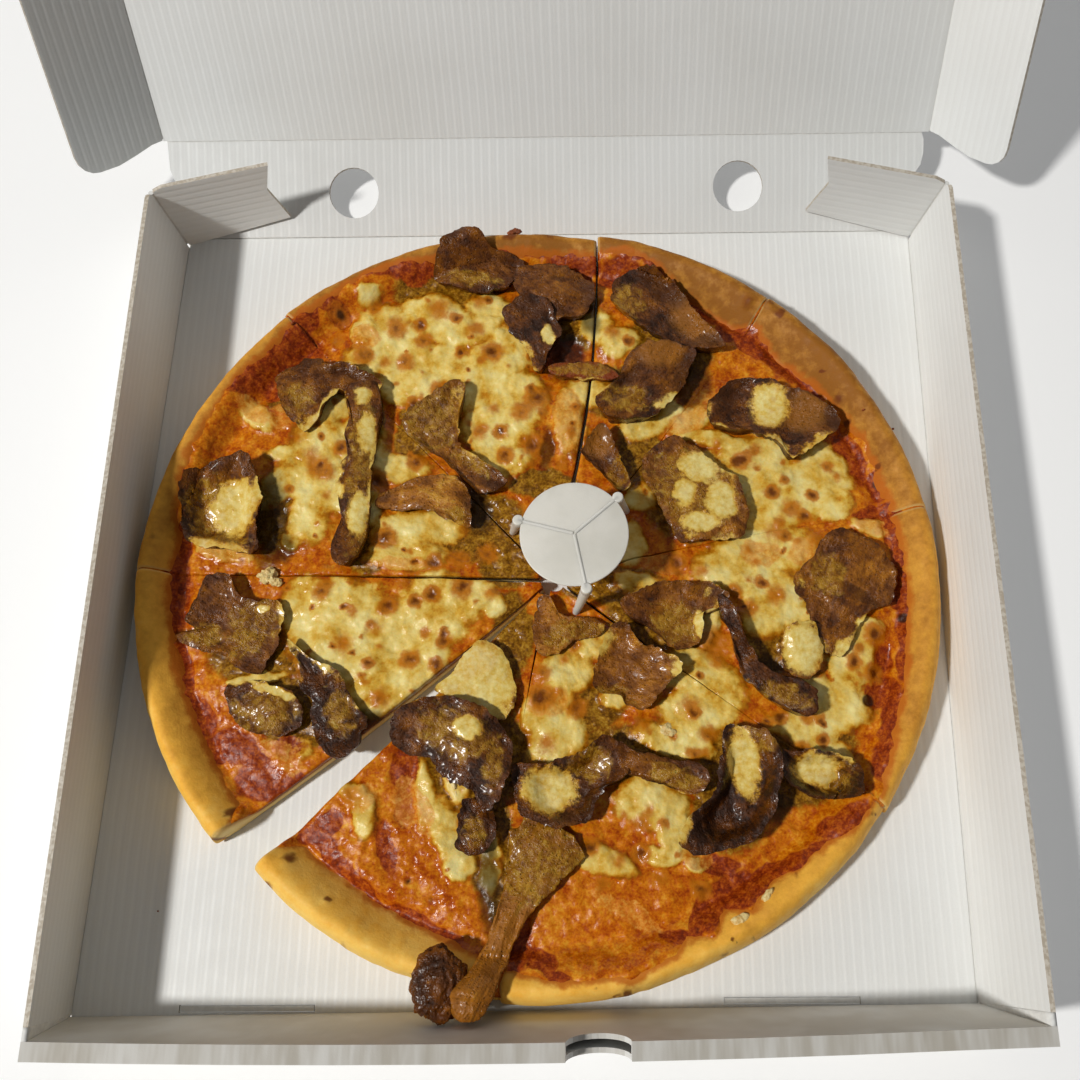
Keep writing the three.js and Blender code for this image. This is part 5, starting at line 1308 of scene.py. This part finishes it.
def saverMesh():
    bm = bmesh.new()
    x, y = saver["at"]
    top = saver["height"] - saver["ribHigh"]
    middle = Vector((x, y, top - saver["thick"] / 2)) * mm
    bmesh.ops.create_cone(
        bm, cap_ends=True, segments=saver["segments"], radius1=(saver["radius"] - saver["taper"]) * mm,
        radius2=saver["radius"] * mm, depth=saver["thick"] * mm, matrix=Matrix.Translation(middle))
    rims = [e for e in bm.edges if len(e.link_faces) == 2 and any(len(f.verts) > 4 for f in e.link_faces)]
    roundEdges(bm, rims, saver["bevel"])
    knobRadius, knobHigh = saver["knob"]
    reach = saver["radius"] + saver["overhang"]
    for degrees, (footX, footY) in saver["legs"]:
        c, s = math.cos(math.radians(degrees)), math.sin(math.radians(degrees))
        endX, endY = x + c * reach, y + s * reach
        foot = (footX, footY, float(surfaceAt(footX, footY)) - 1)
        shoulder = (endX, endY, saver["height"] - saver["shoulder"])
        addRod(bm, foot, shoulder, saver["legRadius"][1], saver["legRadius"][0], 20)
        before = set(bm.faces)
        knob = [(endX, endY, z) for z in (saver["height"] - knobHigh, saver["height"])]
        addRod(bm, *knob, knobRadius, knobRadius * saver["knobTaper"], 24)
        fresh = [f for f in bm.faces if f not in before and len(f.verts) > 4]
        roundEdges(bm, list({e for f in fresh for e in f.edges}), saver["knobBevel"])
        start, level = saver["ribStart"], top - saver["ribSunk"]
        addRod(bm, (x + c * start, y + s * start, level), (endX, endY, level), *saver["rib"])
    return finishMesh("pizza_saver", bm)


addPiece("pizza_saver", saverMesh(), plasticMaterial(), stands=["saver"])
print("saver set up")


# small things that lie about: x, y, height above what is below, half lengths and turn
bits = dict(
    cheese=[(-100, 0.5, 2.2, 3.6, 3, 20), (-96.5, -2, 1.6, 2.2, 1.8, -30), (117, 8.5, 1.2, 6, 0.8, 2),
            (-28, -75, 1.4, 1.1, 5, 20), (-17, -81, 1.4, 1, 5.5, 25), (-23, -86, 1.2, 0.9, 4, -10),
            (70, -122, 0.9, 2.6, 1.6, 20), (80, -114, 0.9, 3, 1.4, 35), (48, -58, 1.4, 3.4, 2.4, 0),
            (-44, -13, 1, 3, 2, 0)],
    crumbs=[(-97.5, 103, 1.0, 0.7, 0.6, 0), (126, 63, 0.8, 0.7, 0.5, 20), (-33, 148.5, 1.2, 1.3, 0.9, 30),
            (-10, 148, 1, 3.2, 1.4, 10), (141, 62, 0.5, 0.6, 0.5, 0), (-6.5, 125, 1, 0.8, 0.7, 0),
            (-130, -118, 0.3, 0.4, 0.3, 0)],
    # how much their surface is broken up, and the size of that
    broken=0.45, breakSize=2.6,
)


def bitsMesh(name, places, seed):
    bm = bmesh.new()
    for number, (x, y, high, rx, ry, turn) in enumerate(places):
        low = float(surfaceAt(x, y)) if math.hypot(x, y) < pizza["crustRadius"] - 1 else pizza["card"]
        turned = Matrix.Rotation(math.radians(turn), 4, "Z") @ Matrix.Diagonal((rx * mm, ry * mm, high * mm, 1))
        matrix = Matrix.Translation(Vector((x, y, low + 0.3 * high)) * mm) @ turned
        middle = Vector((x, y, low)) * mm
        for v in bmesh.ops.create_icosphere(bm, subdivisions=4, radius=1, matrix=matrix)["verts"]:
            push = noise.fractal(v.co / (bits["breakSize"] * mm) + Vector((seed, number, 0)), 0.8, 2.0, 3)
            v.co += (v.co - middle) * bits["broken"] * push
    return finishMesh(name, bm)


def bitMaterial(name, stops, rough):
    material, kit, shader = newMaterial(name, {"Specular IOR Level": 0.35, "Roughness": rough})
    mottled = kit.plus(kit.noise(2.4, 3, 0.6), 0.7, kit.times(kit.noise(0.7, 2, 0.6), 0.3))
    kit.feed(shader.inputs, {"Base Color": kit.ramp(mottled, stops), "Normal": kit.bump(kit.noise(1.1, 3, 0.6), 0.4)})
    return material


curds = bitMaterial("loose cheese", shades((0.35, 206, 160, 84), (0.55, 228, 206, 142)), 0.35)
crumbFinish = bitMaterial("crumbs", shades((0.35, 92, 44, 14), (0.6, 150, 76, 30)), 0.6)
addPiece("loose_cheese", bitsMesh("loose_cheese", bits["cheese"], 3), curds)
addPiece("crumbs", bitsMesh("crumbs", bits["crumbs"], 8), crumbFinish)
print("loose bits laid out")


# lengths and places in metres
lamp = dict(way=(-0.7, -0.29, 1.0), distance=2.8, size=0.24, power=65, warm=(1.0, 0.985, 0.96))
air = dict(colour=(0.95, 0.965, 1.0, 1), strength=0.155)
ground = dict(half=3.0, below=0.0005, colour=tone(235, 235, 234), glow=0.2)


def buildCamera():
    lens = bpy.data.cameras.new("camera")
    lens.sensor_width = view["sensor"]
    lens.lens = view["focal"] / view["frame"] * lens.sensor_width
    lens.shift_x = -view["shift"] / view["frame"]
    lens.clip_start, lens.clip_end = 0.01, 20
    scene.camera = addObject("camera", lens)
    turn = Matrix.Identity(4)
    for axis, name in (("Z", "yaw"), ("X", "pitch"), ("Z", "roll")):
        turn = turn @ Matrix.Rotation(view[name], 4, axis)
    scene.camera.matrix_world = Matrix.Translation(Vector(view["place"]) * mm) @ turn


def buildStudio():
    light = bpy.data.lights.new("key", "AREA")
    light.shape = "DISK"
    light.size = lamp["size"]
    light.energy = lamp["power"]
    light.color = lamp["warm"]
    key = addObject("key", light)
    way = Vector(lamp["way"]).normalized()
    key.location = way * lamp["distance"]
    key.rotation_mode = "QUATERNION"
    key.rotation_quaternion = way.to_track_quat("Z", "Y")

    scene.world = bpy.data.worlds.new("air")
    scene.world.use_nodes = True
    sky = scene.world.node_tree.nodes["Background"].inputs
    sky["Color"].default_value = air["colour"]
    sky["Strength"].default_value = air["strength"]

    bm = bmesh.new()
    bmesh.ops.create_grid(bm, x_segments=1, y_segments=1, size=ground["half"])
    bmesh.ops.translate(bm, verts=bm.verts, vec=(0, 0, -ground["below"]))
    mesh = bpy.data.meshes.new("floor")
    bm.to_mesh(mesh)
    bm.free()
    mesh.materials.append(newMaterial("pale floor", {
        "Base Color": ground["colour"], "Roughness": 0.8,
        "Emission Color": ground["colour"], "Emission Strength": ground["glow"],
    })[0])
    addObject("floor", mesh)
    scene.view_settings.view_transform = "Standard"


buildCamera()
buildStudio()
print("studio set up")
